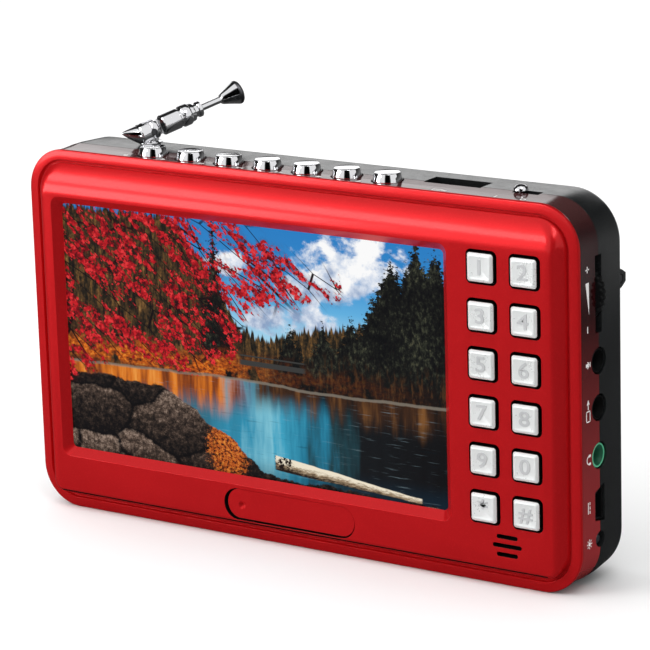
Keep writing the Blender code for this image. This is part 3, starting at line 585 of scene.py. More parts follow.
def maple(g, u, v, place, colour):
    """Sprays of red leaves that hang in from the upper left, with thin twigs."""
    low_edge = profile_of(g, u, (0.0, 0.3), (0.3, 0.42), (0.62, 0.4), (0.8, 0.46), (0.88, 0.66),
                          (1.3, 0.76), (1.4, 0.95), (PICTURE_WIDTH, 1.0))
    high_edge = profile_of(g, u, (0.0, 1.0), (0.9, 1.0), (1.0, 0.92), (1.3, 0.84), (1.36, 0.6),
                           (PICTURE_WIDTH, 0.3))
    inside = g.times(g.step(g.sub(v, low_edge), -0.06, 0.05), g.step(g.sub(high_edge, v), -0.05, 0.04))
    droop = g.mapping(g.mapping(place, rotation=(0, 0, 0.72)), scale=(1.0, 3.4, 1.0))
    spray = g.noise(droop, 3.6, 5.0, 0.65, 0.3)
    tuft = g.step(g.noise(g.mapping(droop, scale=(1.0, 0.6, 1.0)), 15.0, 3.0, 0.6), 0.38, 0.58, 0.2, 1.0)
    dense = g.times(g.times(inside, g.step(spray, 0.42, 0.56)), tuft)
    twig = g.cells(g.mapping(g.mapping(place, rotation=(0, 0, 0.65)), scale=(0.8, 3.2, 1.0)), 4.5,
                   feature="DISTANCE_TO_EDGE")
    colour = g.mix(g.times(g.step(twig, 0.03, 0.012), inside), colour, "130a08")
    shade = g.noise(place, 26.0, 5.0, 0.7)
    colour = g.mix(g.times(dense, 0.75), colour, g.mix(shade, "12060a", "5a0b12"))
    for scale, spin, least_dense in ((40.0, 0.3, 0.62), (52.0, 1.1, 0.42), (70.0, 2.0, 0.24)):
        turned_place = g.mapping(place, rotation=(0, 0, spin), location=(spin, spin * 2, 0))
        push = g.node("ShaderNodeVectorMath", {0: g.noise(turned_place, 90.0, 2.0, output=1),
                                               1: (0.02, 0.02, 0.0)}, operation="MULTIPLY")
        jag = g.node("ShaderNodeVectorMath", {0: turned_place, 1: push}, operation="ADD")
        leaf = g.cells(jag, scale)
        kind = g.split(g.cells(jag, scale, "Color"))
        here = g.step(g.add(dense, g.times(kind[1], 0.25)), least_dense + 0.1, least_dense + 0.2)
        tone = g.add(g.times(kind[0], 0.6), g.times(g.step(shade, 0.35, 0.65), 0.4))
        red = g.ramp(tone, (0.1, "4a080e"), (0.35, "8e0e16"), (0.6, "c41a22"),
                     (0.85, "e5383a"))
        colour = g.mix(g.times(here, g.step(leaf, 0.56, 0.48)), colour, red)
    return colour


def picture(g):
    """An autumn lake for the screen, drawn from noise and simple shapes."""
    across, v, _ = g.split(g.node("ShaderNodeTexCoord", output="UV"))
    u = g.times(across, PICTURE_WIDTH)
    place = g.join(u, v)
    rough = g.sub(g.noise(g.mapping(place, scale=(1, 1.6, 1)), 40.0, 4.0, 0.75), 0.5)
    coarse = g.sub(g.noise(place, 7.0, 5.0, 0.6), 0.5)
    colour = forest(g, u, v, place, sky(g, u, v, place), coarse, rough)
    colour = water(g, u, v, colour, coarse)
    colour = shore(g, u, v, place, colour, coarse)
    return maple(g, u, v, place, branch(g, u, v, place, colour))


# ---------------------------------------------------------------- materials

def surface(name, colour, metallic=0.0, roughness=0.4, specular=0.5, coat=0.0, coat_roughness=0.05,
            grain=200.0, grain_height=0.0, tone=0.06, rough_spread=0.08, flakes=0.0):
    """A moulded, painted or plated finish: slow tone changes, fine grain, uneven gloss and flakes."""
    g = Graph(name)
    mm = g.millimetres()
    slow = g.noise(mm, 0.05, 3.0, 0.5)
    fine = g.noise(mm, grain / 60.0, 4.0, 0.6)
    dark = tuple(c * (1 - 2 * tone) for c in colour)
    light = tuple(min(1.0, c * (1 + 2 * tone)) for c in colour)
    base = g.mix(g.step(slow, 0.3, 0.7), dark, light)
    if flakes:
        speck = g.cells(mm, 5.5, "Color")
        glint = g.step(g.split(speck)[0], 0.75, 1.0, 0.0, flakes)
        base = g.mix(glint, base, tuple(min(1.0, c * 1.7 + 0.02) for c in colour))
    smudge = g.add(g.times(g.noise(mm, 0.35, 4.0, 0.65), 0.6), g.times(fine, 0.4))
    gloss = g.step(smudge, 0.3, 0.7, max(0.02, roughness - rough_spread), roughness + rough_spread)
    g.shade({"Base Color": base, "Roughness": gloss, "Metallic": metallic, "Specular IOR Level": specular,
             "Coat Weight": coat, "Coat Roughness": coat_roughness})
    if grain_height:
        g.shade({"Normal": g.node("ShaderNodeBump", {"Height": fine, "Strength": 1.0,
                                                     "Distance": grain_height * MM})})
    return g.material


def red_paint():
    return surface("red_paint", (0.53, 0.0085, 0.0115), metallic=0.5, roughness=0.33, specular=0.08,
                   coat=0.28, coat_roughness=0.13, tone=0.012, flakes=0.1, grain_height=0.0012,
                   rough_spread=0.03)


def maroon_band():
    """Glossy dark red moulding whose base colour is painted lighter red towards its bottom and near-black
    towards its top, with a paler top lip: painted light and sheen.
    """
    made = surface("maroon_band", (0.06, 0.0085, 0.0105), roughness=0.12, specular=0.5,
                   tone=0.04, grain_height=0.001, rough_spread=0.03)
    g = Graph.of_tree(made.node_tree)
    height = g.split(g.node("ShaderNodeTexCoord", output="Object"))[2]
    # Painted light: lighter red low on the band, near-black high up, and a paler lip on the top face as
    # painted sheen.
    base = g.ramp(g.step(height, BOTTOM * MM, TOP * MM), (0.0, (0.27, 0.022, 0.025)),
                  (0.45, (0.13, 0.014, 0.015)), (0.8, (0.022, 0.003, 0.0035)), (0.985, (0.022, 0.004, 0.005)),
                  (1.0, (0.06, 0.022, 0.022)))
    g.feed(made.node_tree.nodes["Principled BSDF"].inputs["Base Color"], base)
    return made


def screen_glass():
    """The lit screen: a picture drawn from noise under a glossy pane."""
    g = Graph("screen_glass")
    smudge = g.step(g.noise(g.millimetres(), 0.5, 4.0), 0.3, 0.7, 0.04, 0.09)
    g.shade({"Base Color": (0.004, 0.004, 0.005), "Emission Color": picture(g), "Emission Strength": 0.95,
             "Specular IOR Level": 0.08, "Roughness": smudge})
    return g.material


def printed_board():
    """Green solder mask with copper tracks and rows of pads."""
    g = Graph("printed_board")
    mm = g.millimetres()
    track = g.cells(g.mapping(mm, scale=(0.55, 1.0, 0.18)), 1.0, feature="DISTANCE_TO_EDGE", randomness=0.7)
    pad = g.cells(mm, 0.8, randomness=0.15)
    base = g.mix(g.step(track, 0.06, 0.03), (0.006, 0.09, 0.035), (0.015, 0.17, 0.06))
    base = g.mix(g.step(pad, 0.22, 0.18), base, (0.62, 0.5, 0.28))
    g.shade({"Base Color": base, "Metallic": g.step(pad, 0.22, 0.18),
             "Roughness": g.step(g.noise(mm, 1.0, 3.0), 0.3, 0.7, 0.3, 0.5)})
    return g.material


def speaker_mesh():
    """Black cloth over the speaker, woven finely."""
    g = Graph("speaker_mesh")
    mm = g.millimetres()
    weave = g.cells(mm, 2.6, randomness=0.1)
    base = g.mix(g.step(weave, 0.2, 0.5), (0.004, 0.004, 0.004), (0.03, 0.03, 0.032))
    g.shade({"Base Color": base, "Roughness": 0.8,
             "Normal": g.node("ShaderNodeBump", {"Height": weave, "Distance": 0.1 * MM})})
    return g.material


def battery_wrap():
    """Shrink film on the cell, with a paler seam band."""
    g = Graph("battery_wrap")
    mm = g.millimetres()
    across = g.split(mm)[0]
    band = g.step(g.math("ABSOLUTE", g.sub(g.math("PINGPONG", across, 20.0), 10.0)), 7.5, 8.0)
    base = g.mix(band, (0.02, 0.05, 0.16), (0.30, 0.32, 0.36))
    crease = g.noise(g.mapping(mm, scale=(0.2, 1.0, 1.6)), 0.8, 4.0, 0.6)
    g.shade({"Base Color": base, "Roughness": g.step(crease, 0.3, 0.7, 0.25, 0.5),
             "Normal": g.node("ShaderNodeBump", {"Height": crease, "Distance": 0.15 * MM})})
    return g.material


M = {
    "red": red_paint(),
    "maroon": maroon_band(),
    "black": surface("black_casing", (0.0105, 0.0115, 0.012), roughness=0.2, specular=0.5,
                     tone=0.08, grain_height=0.002, rough_spread=0.04),
    "key": surface("silver_key", (0.76, 0.78, 0.775), metallic=0.3, roughness=0.32, tone=0.02,
                   grain_height=0.002, flakes=0.04),
    # Painted shade: the marks are darker than the cap, to show the dark strokes of the embossed numbers.
    "key_mark": surface("key_mark", (0.56, 0.57, 0.58), metallic=0.35, roughness=0.38, tone=0.03,
                        grain_height=0.002),
    "rubber": surface("black_rubber", (0.0035, 0.0035, 0.0035), roughness=0.75, specular=0.1,
                      grain_height=0.01),
    "chrome": surface("chrome", (0.86, 0.86, 0.88), metallic=1.0, roughness=0.07, tone=0.01,
                      rough_spread=0.03),
    "plastic": surface("black_plastic", (0.004, 0.0042, 0.0045), roughness=0.4, specular=0.15,
                       grain_height=0.006),
    "green": surface("green_plastic", (0.10, 0.48, 0.27), roughness=0.35, tone=0.05,
                     grain_height=0.003),
    # Painted shade: a darker green for the inside of the green socket's bore.
    "green_painted_shade": surface("green_bore_painted_shade", (0.008, 0.10, 0.05), roughness=0.5, tone=0.05,
                          grain_height=0.003),
    "metal": surface("port_metal", (0.55, 0.55, 0.57), metallic=1.0, roughness=0.3, tone=0.05,
                     grain_height=0.002),
    "led": surface("led_lens", (0.02, 0.02, 0.024), roughness=0.12, coat=0.5, tone=0.05),
    "steel": surface("screw_steel", (0.16, 0.16, 0.17), metallic=1.0, roughness=0.34, tone=0.08,
                     grain_height=0.003),
    "white": surface("print_white", (0.78, 0.76, 0.75), roughness=0.55, tone=0.04, grain=300.0),
    "glass": screen_glass(),
    "lcd": surface("lcd_frame", (0.03, 0.032, 0.035), roughness=0.35, metallic=0.3, tone=0.06),
    "board": printed_board(),
    "mesh": speaker_mesh(),
    "battery": battery_wrap(),
}

CAD_FINISH = {
    "red": "front_bezel badge_plate", "maroon": "middle_frame", "black": "rear_cover battery_door stand",
    "glass": "display_lens", "lcd": "lcd_panel", "rubber": "key_mat", "green": "line_jack",
    "board": "key_board top_board main_board", "metal": "power_switch_body usb_port",
    "chrome": "power_switch_knob antenna_turret antenna_tube antenna_section antenna_rod",
    "plastic": "volume_pot volume_wheel mic_jack av_out_jack dc_port", "led": "led_lamp",
    "mesh": "speaker", "battery": "battery", "steel": "stand_pin_left stand_pin_right antenna_pin",
}


def finish_of(node):
    if node.startswith("key_") and node[-2:].isdigit():
        return "key"
    if node.startswith("top_button"):
        return "chrome"
    if node.startswith("casing_screw"):
        return "steel"
    return next(finish for finish, nodes in CAD_FINISH.items() if node in nodes.split())


def paint_frame():
    """Give every CAD node its finish, whether or not a finer piece stands for it later."""
    for node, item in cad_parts.items():
        item.data.materials.clear()
        item.data.materials.append(M[finish_of(node)])


# ---------------------------------------------------------------- casing pieces

def key_places():
    """(key node, x, z) of each key, in mm."""
    return [(key, middle(key).x, middle(key).z) for key in KEYS]


def jack_mouths(bm):
    """Holes through the right side, cut from the front band and the rear cover alike."""
    near_x, far_x = RIGHT - CUT_INSIDE, RIGHT + CUT_OUTSIDE
    for node in JACKS:
        rod("X", (near_x, SPLIT_Y, middle(node).z), far_x - near_x, JACK_HOLE_RADIUS, bm=bm)
    rod("X", (near_x, SPLIT_Y, middle("led_lamp").z), far_x - near_x, LAMP_HOLE_RADIUS, bm=bm)
    along_x(dc_outline(0.1), near_x, far_x, bm)
    wheel = middle("volume_wheel").z
    half_width, half_length = WHEEL_SLOT
    block((near_x, SPLIT_Y - half_width, wheel - half_length),
          (far_x, SPLIT_Y + half_width, wheel + half_length), bm)
    return bm


def dc_outline(grow):
    """Trapezoid of the power socket as (y, z) corners, the narrow side to the front."""
    centre = middle("dc_port").z
    bottom, top = centre - 3.85, centre + 3.85
    front, rear = SPLIT_Y - 1.7, SPLIT_Y + 1.7
    return [(front - grow, bottom + 0.6 - grow), (rear + grow, bottom - grow),
            (rear + grow, top + grow), (front - grow, top - 1.4 + grow)]


def top_mouths(bm):
    """Holes through the top, for the buttons, the memory-stick slot and the switch."""
    low_z, high_z = TOP - CUT_INSIDE, TOP + CUT_OUTSIDE
    for node in TOP_BUTTONS:
        centre = middle(node)
        rod("Z", (centre.x, centre.y, low_z), high_z - low_z, BUTTON_RADIUS + GAP, bm=bm)
    usb = middle("usb_port")
    half_x, half_y = USB_SLOT
    block((usb.x - half_x, usb.y - half_y, low_z), (usb.x + half_x, usb.y + half_y, high_z), bm)
    left, right, half = SWITCH_SLOT
    block((left, SPLIT_Y - half, low_z), (right, SPLIT_Y + half, high_z), bm)
    return bm


def bezier(first, control, last, t):
    return [(1 - t) ** 2 * a + 2 * t * (1 - t) * b + t * t * c for a, b, c in zip(first, control, last)]


def red_front():
    """Front shell: flat panel, crowned slopes, groove, stepped rim and the tongue behind it."""
    def section(values):
        return (values[0], casing_outline(*values[1:]))
    flat = (FRONT_Y, 5.4, 1.2, 9.2, 4.75)
    crease = (FRONT_Y, 4.6, 1.5, 7.9, 4.2)
    slope = (FRONT_Y + 1.0, 3.95, 2.8, 5.6, 3.6)
    foot = (RIM_Y + 0.05, 2.9, 6.1, 2.9, 2.9)
    sections = [section(bezier(flat, crease, slope, step / 5)) for step in range(6)]
    bulge = (FRONT_Y + 1.75, 3.35, 4.9, 3.85, 3.15)
    sections += [section(bezier(slope, bulge, foot, step / 4)) for step in range(1, 5)]
    groove, rim_back = RIM_Y + 0.6, RIM_Y + 0.8
    sections += casing_steps(
        (groove, 2.75), (groove, 2.35), (RIM_Y, 2.1), (RIM_Y, 0.4), (RIM_Y + 0.12, 0.12),
        (RIM_Y + 0.4, 0.0), (rim_back, 0.0), (rim_back, 2.35), (RIM_Y + 3.3, 2.35), (RIM_Y + 3.3, 3.75),
        (RIM_Y + 1.8, 3.75))
    sections.append((PANEL_BACK_Y, casing_outline(6.0, radius=3.0, top_inset=9.2, bottom_inset=6.0)))
    bm = along_y(sections)
    holes = window_cutter()
    for _, x, z in key_places():
        half = KEY_HOLE_HALF
        outline = rounded_outline(x - half, x + half, z - half, z + half, 1.2, steps=8)
        along_y([(FRONT_Y - 1.0, outline), (PANEL_BACK_Y + 1.0, outline)], bm=holes)
    for row, length in enumerate(SLOT_LENGTHS):
        x, z = SLOT_X, SLOT_TOP_Z - SLOT_PITCH * row
        outline = rounded_outline(x - length / 2, x + length / 2, z - 0.45, z + 0.45, 0.4, steps=4)
        along_y([(FRONT_Y - 1.0, outline), (PANEL_BACK_Y + 1.0, outline)], bm=holes)
    outline = badge_outline(0.0)
    along_y([(FRONT_Y - 1.0, outline), (FRONT_Y + 0.9, outline)], bm=holes)

    badge_low, badge_high = low("badge_plate"), high("badge_plate")

    def chooser(centre, normal):
        """The walls of the key holes and slots are black inside; the badge pocket's walls and floor are
        painted black as painted shade in the recess.
        """
        in_keypad = KEYPAD[0] < centre.x < KEYPAD[1] and 5.0 < centre.z < KEYPAD[2]
        hole = in_keypad and abs(normal.y) < 0.5 and FRONT_Y < centre.y < PANEL_BACK_Y + 0.5
        # Painted shade: the badge pocket gets the black rubber finish so that the recess reads dark.
        pocket_painted_shade = (badge_low.x - 1 < centre.x < badge_high.x + 1 and FRONT_Y + 0.1 < centre.y < FRONT_Y + 1.0
                  and badge_low.z - 1 < centre.z < badge_high.z + 1)
        return int(hole or pocket_painted_shade)
    piece("red_front", cut(bm, holes), "case", [M["red"], M["rubber"]], "red_paint", ("front_bezel",),
          smooth=32.0, bevel=0.1, chooser=chooser)


def window_cutter():
    left, right, bottom, top = WINDOW

    def outline(grow, radius):
        return rounded_outline(left - grow, right + grow, bottom - grow, top + grow, radius, steps=8)
    slope = WINDOW_CHAMFER / (PANEL_BACK_Y - FRONT_Y)
    return along_y([(FRONT_Y - 1.0, outline(WINDOW_CHAMFER + slope, 2.6)),
                    (PANEL_BACK_Y, outline(0.0, 1.0)), (PANEL_BACK_Y + 1.0, outline(0.0, 1.0))])


def badge_outline(inset):
    box_low, box_high = low("badge_plate"), high("badge_plate")
    left, right = box_low.x - 0.65 + inset, box_high.x + 0.3 - inset
    bottom, top = box_low.z - 0.3 + inset, box_high.z + 0.3 - inset
    return rounded_outline(left, right, bottom, top, (top - bottom) / 2 - 0.05, steps=16)


def badge():
    """Blank pill-shaped inlay under the screen, with one small dimple."""
    box_low, box_high = low("badge_plate"), high("badge_plate")

    def outline(inset):
        low_z, high_z = box_low.z + 0.12 + inset, box_high.z + 0.27 - inset
        return rounded_outline(box_low.x + 0.25 + inset, box_high.x + 0.22 - inset, low_z, high_z,
                               (high_z - low_z) / 2 - 0.05, steps=16)
    front = box_low.y
    edge = 0.07
    bm = along_y([(front, outline(edge)), (front + edge, outline(0.0)), (box_high.y, outline(0.0))])
    dimple = rod("Y", (DIMPLE[0], front - 0.05, DIMPLE[1]), 0.55, 0.95, 0.25)
    piece("badge", cut(bm, dimple), "case", M["red"], "red_paint", ("badge_plate",), smooth=25.0)


def red_band():
    """Glossy dark red band between the front shell and the rear cover."""
    front, back = low("middle_frame").y, SPLIT_Y - 0.01
    bm = along_y(casing_steps((front, 0.35), (front + 0.15, 0.2), (back - 3.0, 0.2), (back, 0.03),
                              (back, 2.0), (front, 2.0)), ring=True)
    holes = top_mouths(jack_mouths(bmesh.new()))
    piece("red_band", cut(bm, holes), "case", M["maroon"], "maroon_band", ("middle_frame",),
          smooth=35.0, bevel=0.02)


def rear_shell():
    """Black rear cover with rounded edges, battery bay, screw holes and the stand's ears."""
    radius = 2.0
    edge_y = REAR_Y - radius
    sections = []
    for step in range(9):
        angle = math.radians(90 - 90 * step / 8)
        inset = radius * (1 - math.cos(angle))
        sections.append((edge_y + radius * math.sin(angle),
                         casing_outline(inset, radius=CORNER_RADIUS + 1.2 - inset)))
    front = SPLIT_Y + 0.01
    sections += casing_steps((1.0, 0.0), (front, 0.0), (front, 1.8))
    sections.append((REAR_Y - 1.8, casing_outline(1.8, radius=8.0)))
    bm = along_y(sections)
    bosses = bmesh.new()
    for screw in SCREWS:
        centre = middle(screw)
        rod("Y", (centre.x, -1.7, centre.z), 8.7, 2.6, bm=bosses)
    door_low, door_high = low("battery_door"), high("battery_door")
    block((door_low.x - 1.5, -0.9, door_low.z - 1.5), (door_high.x + 1.5, REAR_Y - 1.3, door_high.z + 1.5),
          bosses)
    for side in (-1, 1):
        stand_ear(side, bosses)
    bm = join(bm, bosses)
    holes = top_mouths(jack_mouths(bmesh.new()))
    block((door_low.x - GAP, 0.1, door_low.z - GAP),
          (door_high.x + GAP, REAR_Y + 1, door_high.z + GAP), holes)
    rod("Z", (HINGE.x, HINGE.y, TOP - 4), 6.0, 2.2, bm=holes)
    bm = cut(bm, holes)
    drilled = bmesh.new()
    for screw in SCREWS:
        centre = middle(screw)
        lathe([(0, -3.0), (1.25, -3.0), (1.25, 6.9), (2.2, 6.9), (2.2, 9.9), (0, 9.9)], 40, drilled,
              Matrix.Translation((centre.x, 0, centre.z)) @ AXIS_TURN["Y"])
    pin = middle("stand_pin_left")
    for side in (-1, 1):
        rod("X", (min(side * x for x in PIN_X), pin.y, pin.z), PIN_X[1] - PIN_X[0], 0.95, bm=drilled)
    piece("rear_shell", cut(bm, drilled), "case", M["black"], "black_casing", ("rear_cover",),
          smooth=32.0, bevel=0.02)


def stand_ear(side, bm):
    """Faceted ear for the stand's pin, rooted in the rear wall."""
    z = middle("stand_pin_left").z
    outline = [(REAR_Y - 1.2, z - 2.2), (REAR_Y + 2.4, z - 1.9), (REAR_Y + 4.2, z - 0.9),
               (REAR_Y + 4.2, z + 0.9), (REAR_Y + 2.4, z + 1.9), (REAR_Y - 1.2, z + 2.2)]
    start, end = sorted(side * x for x in EAR_X)
    along_x(outline, start, end, bm)


# ---------------------------------------------------------------- screen, keys, buttons

def screen():
    """Glass over the picture. Its UV map runs 0 to 1 over the window."""
    box_low, box_high = low("display_lens"), high("display_lens")
    left, right, bottom, top = WINDOW

    def outline(inset):
        return rounded_outline(box_low.x + inset, box_high.x - inset, box_low.z + inset,
                               box_high.z - inset, 0.8, steps=6)
    bm = along_y([(box_low.y, outline(0.12)), (box_low.y + 0.12, outline(0.0)),
                  (box_high.y, outline(0.0))])
    uv = bm.loops.layers.uv.new("window")
    for face in bm.faces:
        for loop in face.loops:
            loop[uv].uv = ((loop.vert.co.x - left) / (right - left),
                           (loop.vert.co.z - bottom) / (top - bottom))
    piece("screen_glass", bm, "case", M["glass"], "clear_lens", ("display_lens",), smooth=20.0)


def key_cap(node, x, z):
    """Silver square cap with bevelled edges and a shallow dish, on a black skirt with a hidden flange."""
    def square(half, radius):
        return [(x + px, z + pz) for px, pz in rounded_outline(-half, half, -half, half, radius, steps=6)]
    front = FRONT_Y - KEY_PROUD
    half = KEY_HALF
    sections = ((front + 0.05, half - 0.85, 0.3), (front, half - 0.7, 0.34), (front, half - 0.48, 0.4),
                (front + 0.05, half - 0.4, 0.44), (front + 0.36, half - 0.06, 0.55),
                (front + 0.44, half, 0.58), (front + 0.55, half, 0.6), (front + 0.62, half - 0.02, 0.65),
                (FRONT_Y + 2.1, half, 0.9), (FRONT_Y + 2.1, KEY_FLANGE, 0.9),
                (FRONT_Y + 2.8, KEY_FLANGE, 0.9))
    bm = along_y([(y, square(reach, radius)) for y, reach, radius in sections])
    piece(f"cap_{node[-2:]}", bm, node, [M["key"], M["rubber"]], "silver_key", (node,),
          smooth=40.0, chooser=lambda centre, normal: int(centre.y > front + 0.57))


def text_mesh(text, size, depth, matrix, bold=0.0):
    """A bmesh, in mm, of generic characters cut from the built-in font and centred."""
    curve = bpy.data.curves.new("mark", "FONT")
    curve.body = text
    curve.size = size
    curve.extrude = depth / 2
    curve.offset = bold
    curve.resolution_u = 4
    curve.align_x = "CENTER"
    curve.align_y = "CENTER"
    item = placed("mark", curve)
    bpy.context.view_layer.update()
    graph = bpy.context.evaluated_depsgraph_get()
    mesh = bpy.data.meshes.new_from_object(item.evaluated_get(graph))
    bm = bmesh.new()
    bm.from_mesh(mesh)
    bpy.data.objects.remove(item)
    bpy.data.meshes.remove(mesh)
    bpy.data.curves.remove(curve)
    return moved(bm, matrix)


FACE_FRONT = Matrix.Rotation(math.pi / 2, 4, "X")


def key_mark(node, x, z, text):
    """Raised number on a key cap, in a darker grey than the cap as painted shade for its strokes."""
    matrix = Matrix.Translation((x, FRONT_Y - KEY_PROUD + 0.03, z)) @ FACE_FRONT
    matrix = matrix @ Matrix.Diagonal((1.18, 1.0, 1.0, 1.0))
    piece(f"mark_{node[-2:]}", text_mesh(text, 4.4, 0.16, matrix, 0.07), node, M["key_mark"],
          "silver_key", smooth=40.0, bevel=0.03, segments=1)


def keypad():
    for (node, x, z), text in zip(key_places(), KEY_MARKS):
        key_cap(node, x, z)
        key_mark(node, x, z, text)


def top_button(node):
    """Chrome button: a barely domed face with a rounded edge over a slightly tapered drum."""
    radius, proud = BUTTON_RADIUS, BUTTON_PROUD
    profile = [(0, proud)]
    profile += [(radius * share, proud - 0.1 * (share / 0.82) ** 2) for share in (0.2, 0.4, 0.6, 0.82)]
    for step in range(1, 6):
        angle = math.radians(70 * step / 5)
        profile.append((radius * (0.82 + 0.06 * math.sin(angle)), proud - 0.1 - 0.16 * (1 - math.cos(angle))))
    profile += [(radius, 0.1), (radius, -2.4),
                (radius + 0.5, -2.4), (radius + 0.5, -3.2), (0, -3.2)]
    centre = middle(node)
    piece(f"chrome_{node}", lathe(profile, 48, matrix=Matrix.Translation((centre.x, centre.y, TOP))), node,
          M["chrome"], "chrome", (node,), smooth=40.0)


def switch_knob():
    """Slide switch: a small domed nub on a stem."""
    x = middle("power_switch_knob").x
    at = Matrix.Translation((x, SPLIT_Y, TOP))
    profile = [(0, 1.5)]
    for step in range(1, 9):
        angle = math.radians(90 * step / 8)
        profile.append((1.5 * math.sin(angle), 0.35 + 1.15 * math.cos(angle)))
    profile += [(1.3, 0.2), (0.7, 0.1), (0.7, -2.7), (0, -2.7)]
    slider = block((x - 2.6, SPLIT_Y - 1.7, TOP - 3.6), (x + 2.6, SPLIT_Y + 1.7, TOP - 2.5))
    piece("switch_nub", join(lathe(profile, 40, matrix=at), slider), "power_switch", M["chrome"],
          "chrome", ("power_switch_knob",), smooth=35.0)


def wheel():
    """Thumbwheel with rounded ribs and bevelled rims."""
    centre = middle("volume_wheel")
    box_low, box_high = low("volume_wheel"), high("volume_wheel")
    radius = (box_high.z - box_low.z) / 2

    def outline(shrink):
        points = []
        for rib in range(RIBS):
            for part, depth in ((0.0, 0.34), (0.12, 0.16), (0.25, 0.02), (0.4, 0.0), (0.6, 0.02),
                                (0.75, 0.16), (0.87, 0.34)):
                angle = 2 * math.pi * (rib + part) / RIBS
                reach = radius - depth - shrink
                points.append((centre.x + reach * math.cos(angle), centre.z + reach * math.sin(angle)))
        return points
    front, back = box_low.y, box_high.y
    rims = ((front, 0.4), (front + 0.15, 0.1), (front + 0.3, 0.0), (back - 0.3, 0.0), (back - 0.15, 0.1),
            (back, 0.4))
    bm = along_y([(y, outline(shrink)) for y, shrink in rims])
    bore = rod("Y", (centre.x, front - 1.0, centre.z), 5.0, 1.7)
    piece("thumbwheel", cut(bm, bore), "volume_wheel", M["plastic"], "black_plastic",
          ("volume_wheel",), smooth=35.0)


def socket(node, finish, slot, dark):
    """Round socket: a lipped barrel in the casing's hole, with a funnelled bore drawn in the darker finish
    dark, as painted shade inside the hole.
    """
    z = middle(node).z
    mouth = RIGHT - 0.3
    wall, barrel, floor = 64.9, 63.8, 56.0      # X of the body's end, the barrel's root, the bore's floor
    body_low, body_high = low(node), high(node)
    at = Matrix.Translation((0, SPLIT_Y, z)) @ AXIS_TURN["X"]
    bm = block(body_low, (wall, body_high.y, body_high.z))
    lip = [(0, barrel), (2.5, barrel), (2.5, mouth - 0.15), (2.35, mouth), (0, mouth)]
    bm = join(bm, lathe(lip, matrix=at))
    bore = lathe([(0, floor), (1.8, floor), (1.8, mouth - 1.1), (1.95, mouth - 0.6), (2.15, mouth - 0.2),
                  (2.15, mouth + 1.0), (0, mouth + 1.0)], matrix=at)

    # Painted shade: faces inside the bore get the darker finish.
    def chooser(centre, normal):
        away = math.hypot(centre.y - SPLIT_Y, centre.z - z)
        return int(away < 2.12 and centre.x < mouth - 0.1)
    piece(f"socket_{node}", cut(bm, bore), "case", [M[finish], M[dark]], slot, (node,),
          smooth=35.0, bevel=0.04, chooser=chooser)


# ---------------------------------------------------------------- antenna

def antenna_frame():
    turn = Matrix.Rotation(math.radians(ANTENNA_AZIMUTH), 4, "Z")
    tip = Matrix.Rotation(math.radians(90 - ANTENNA_ELEVATION), 4, "Y")
    return Matrix.Translation(HINGE) @ turn @ tip


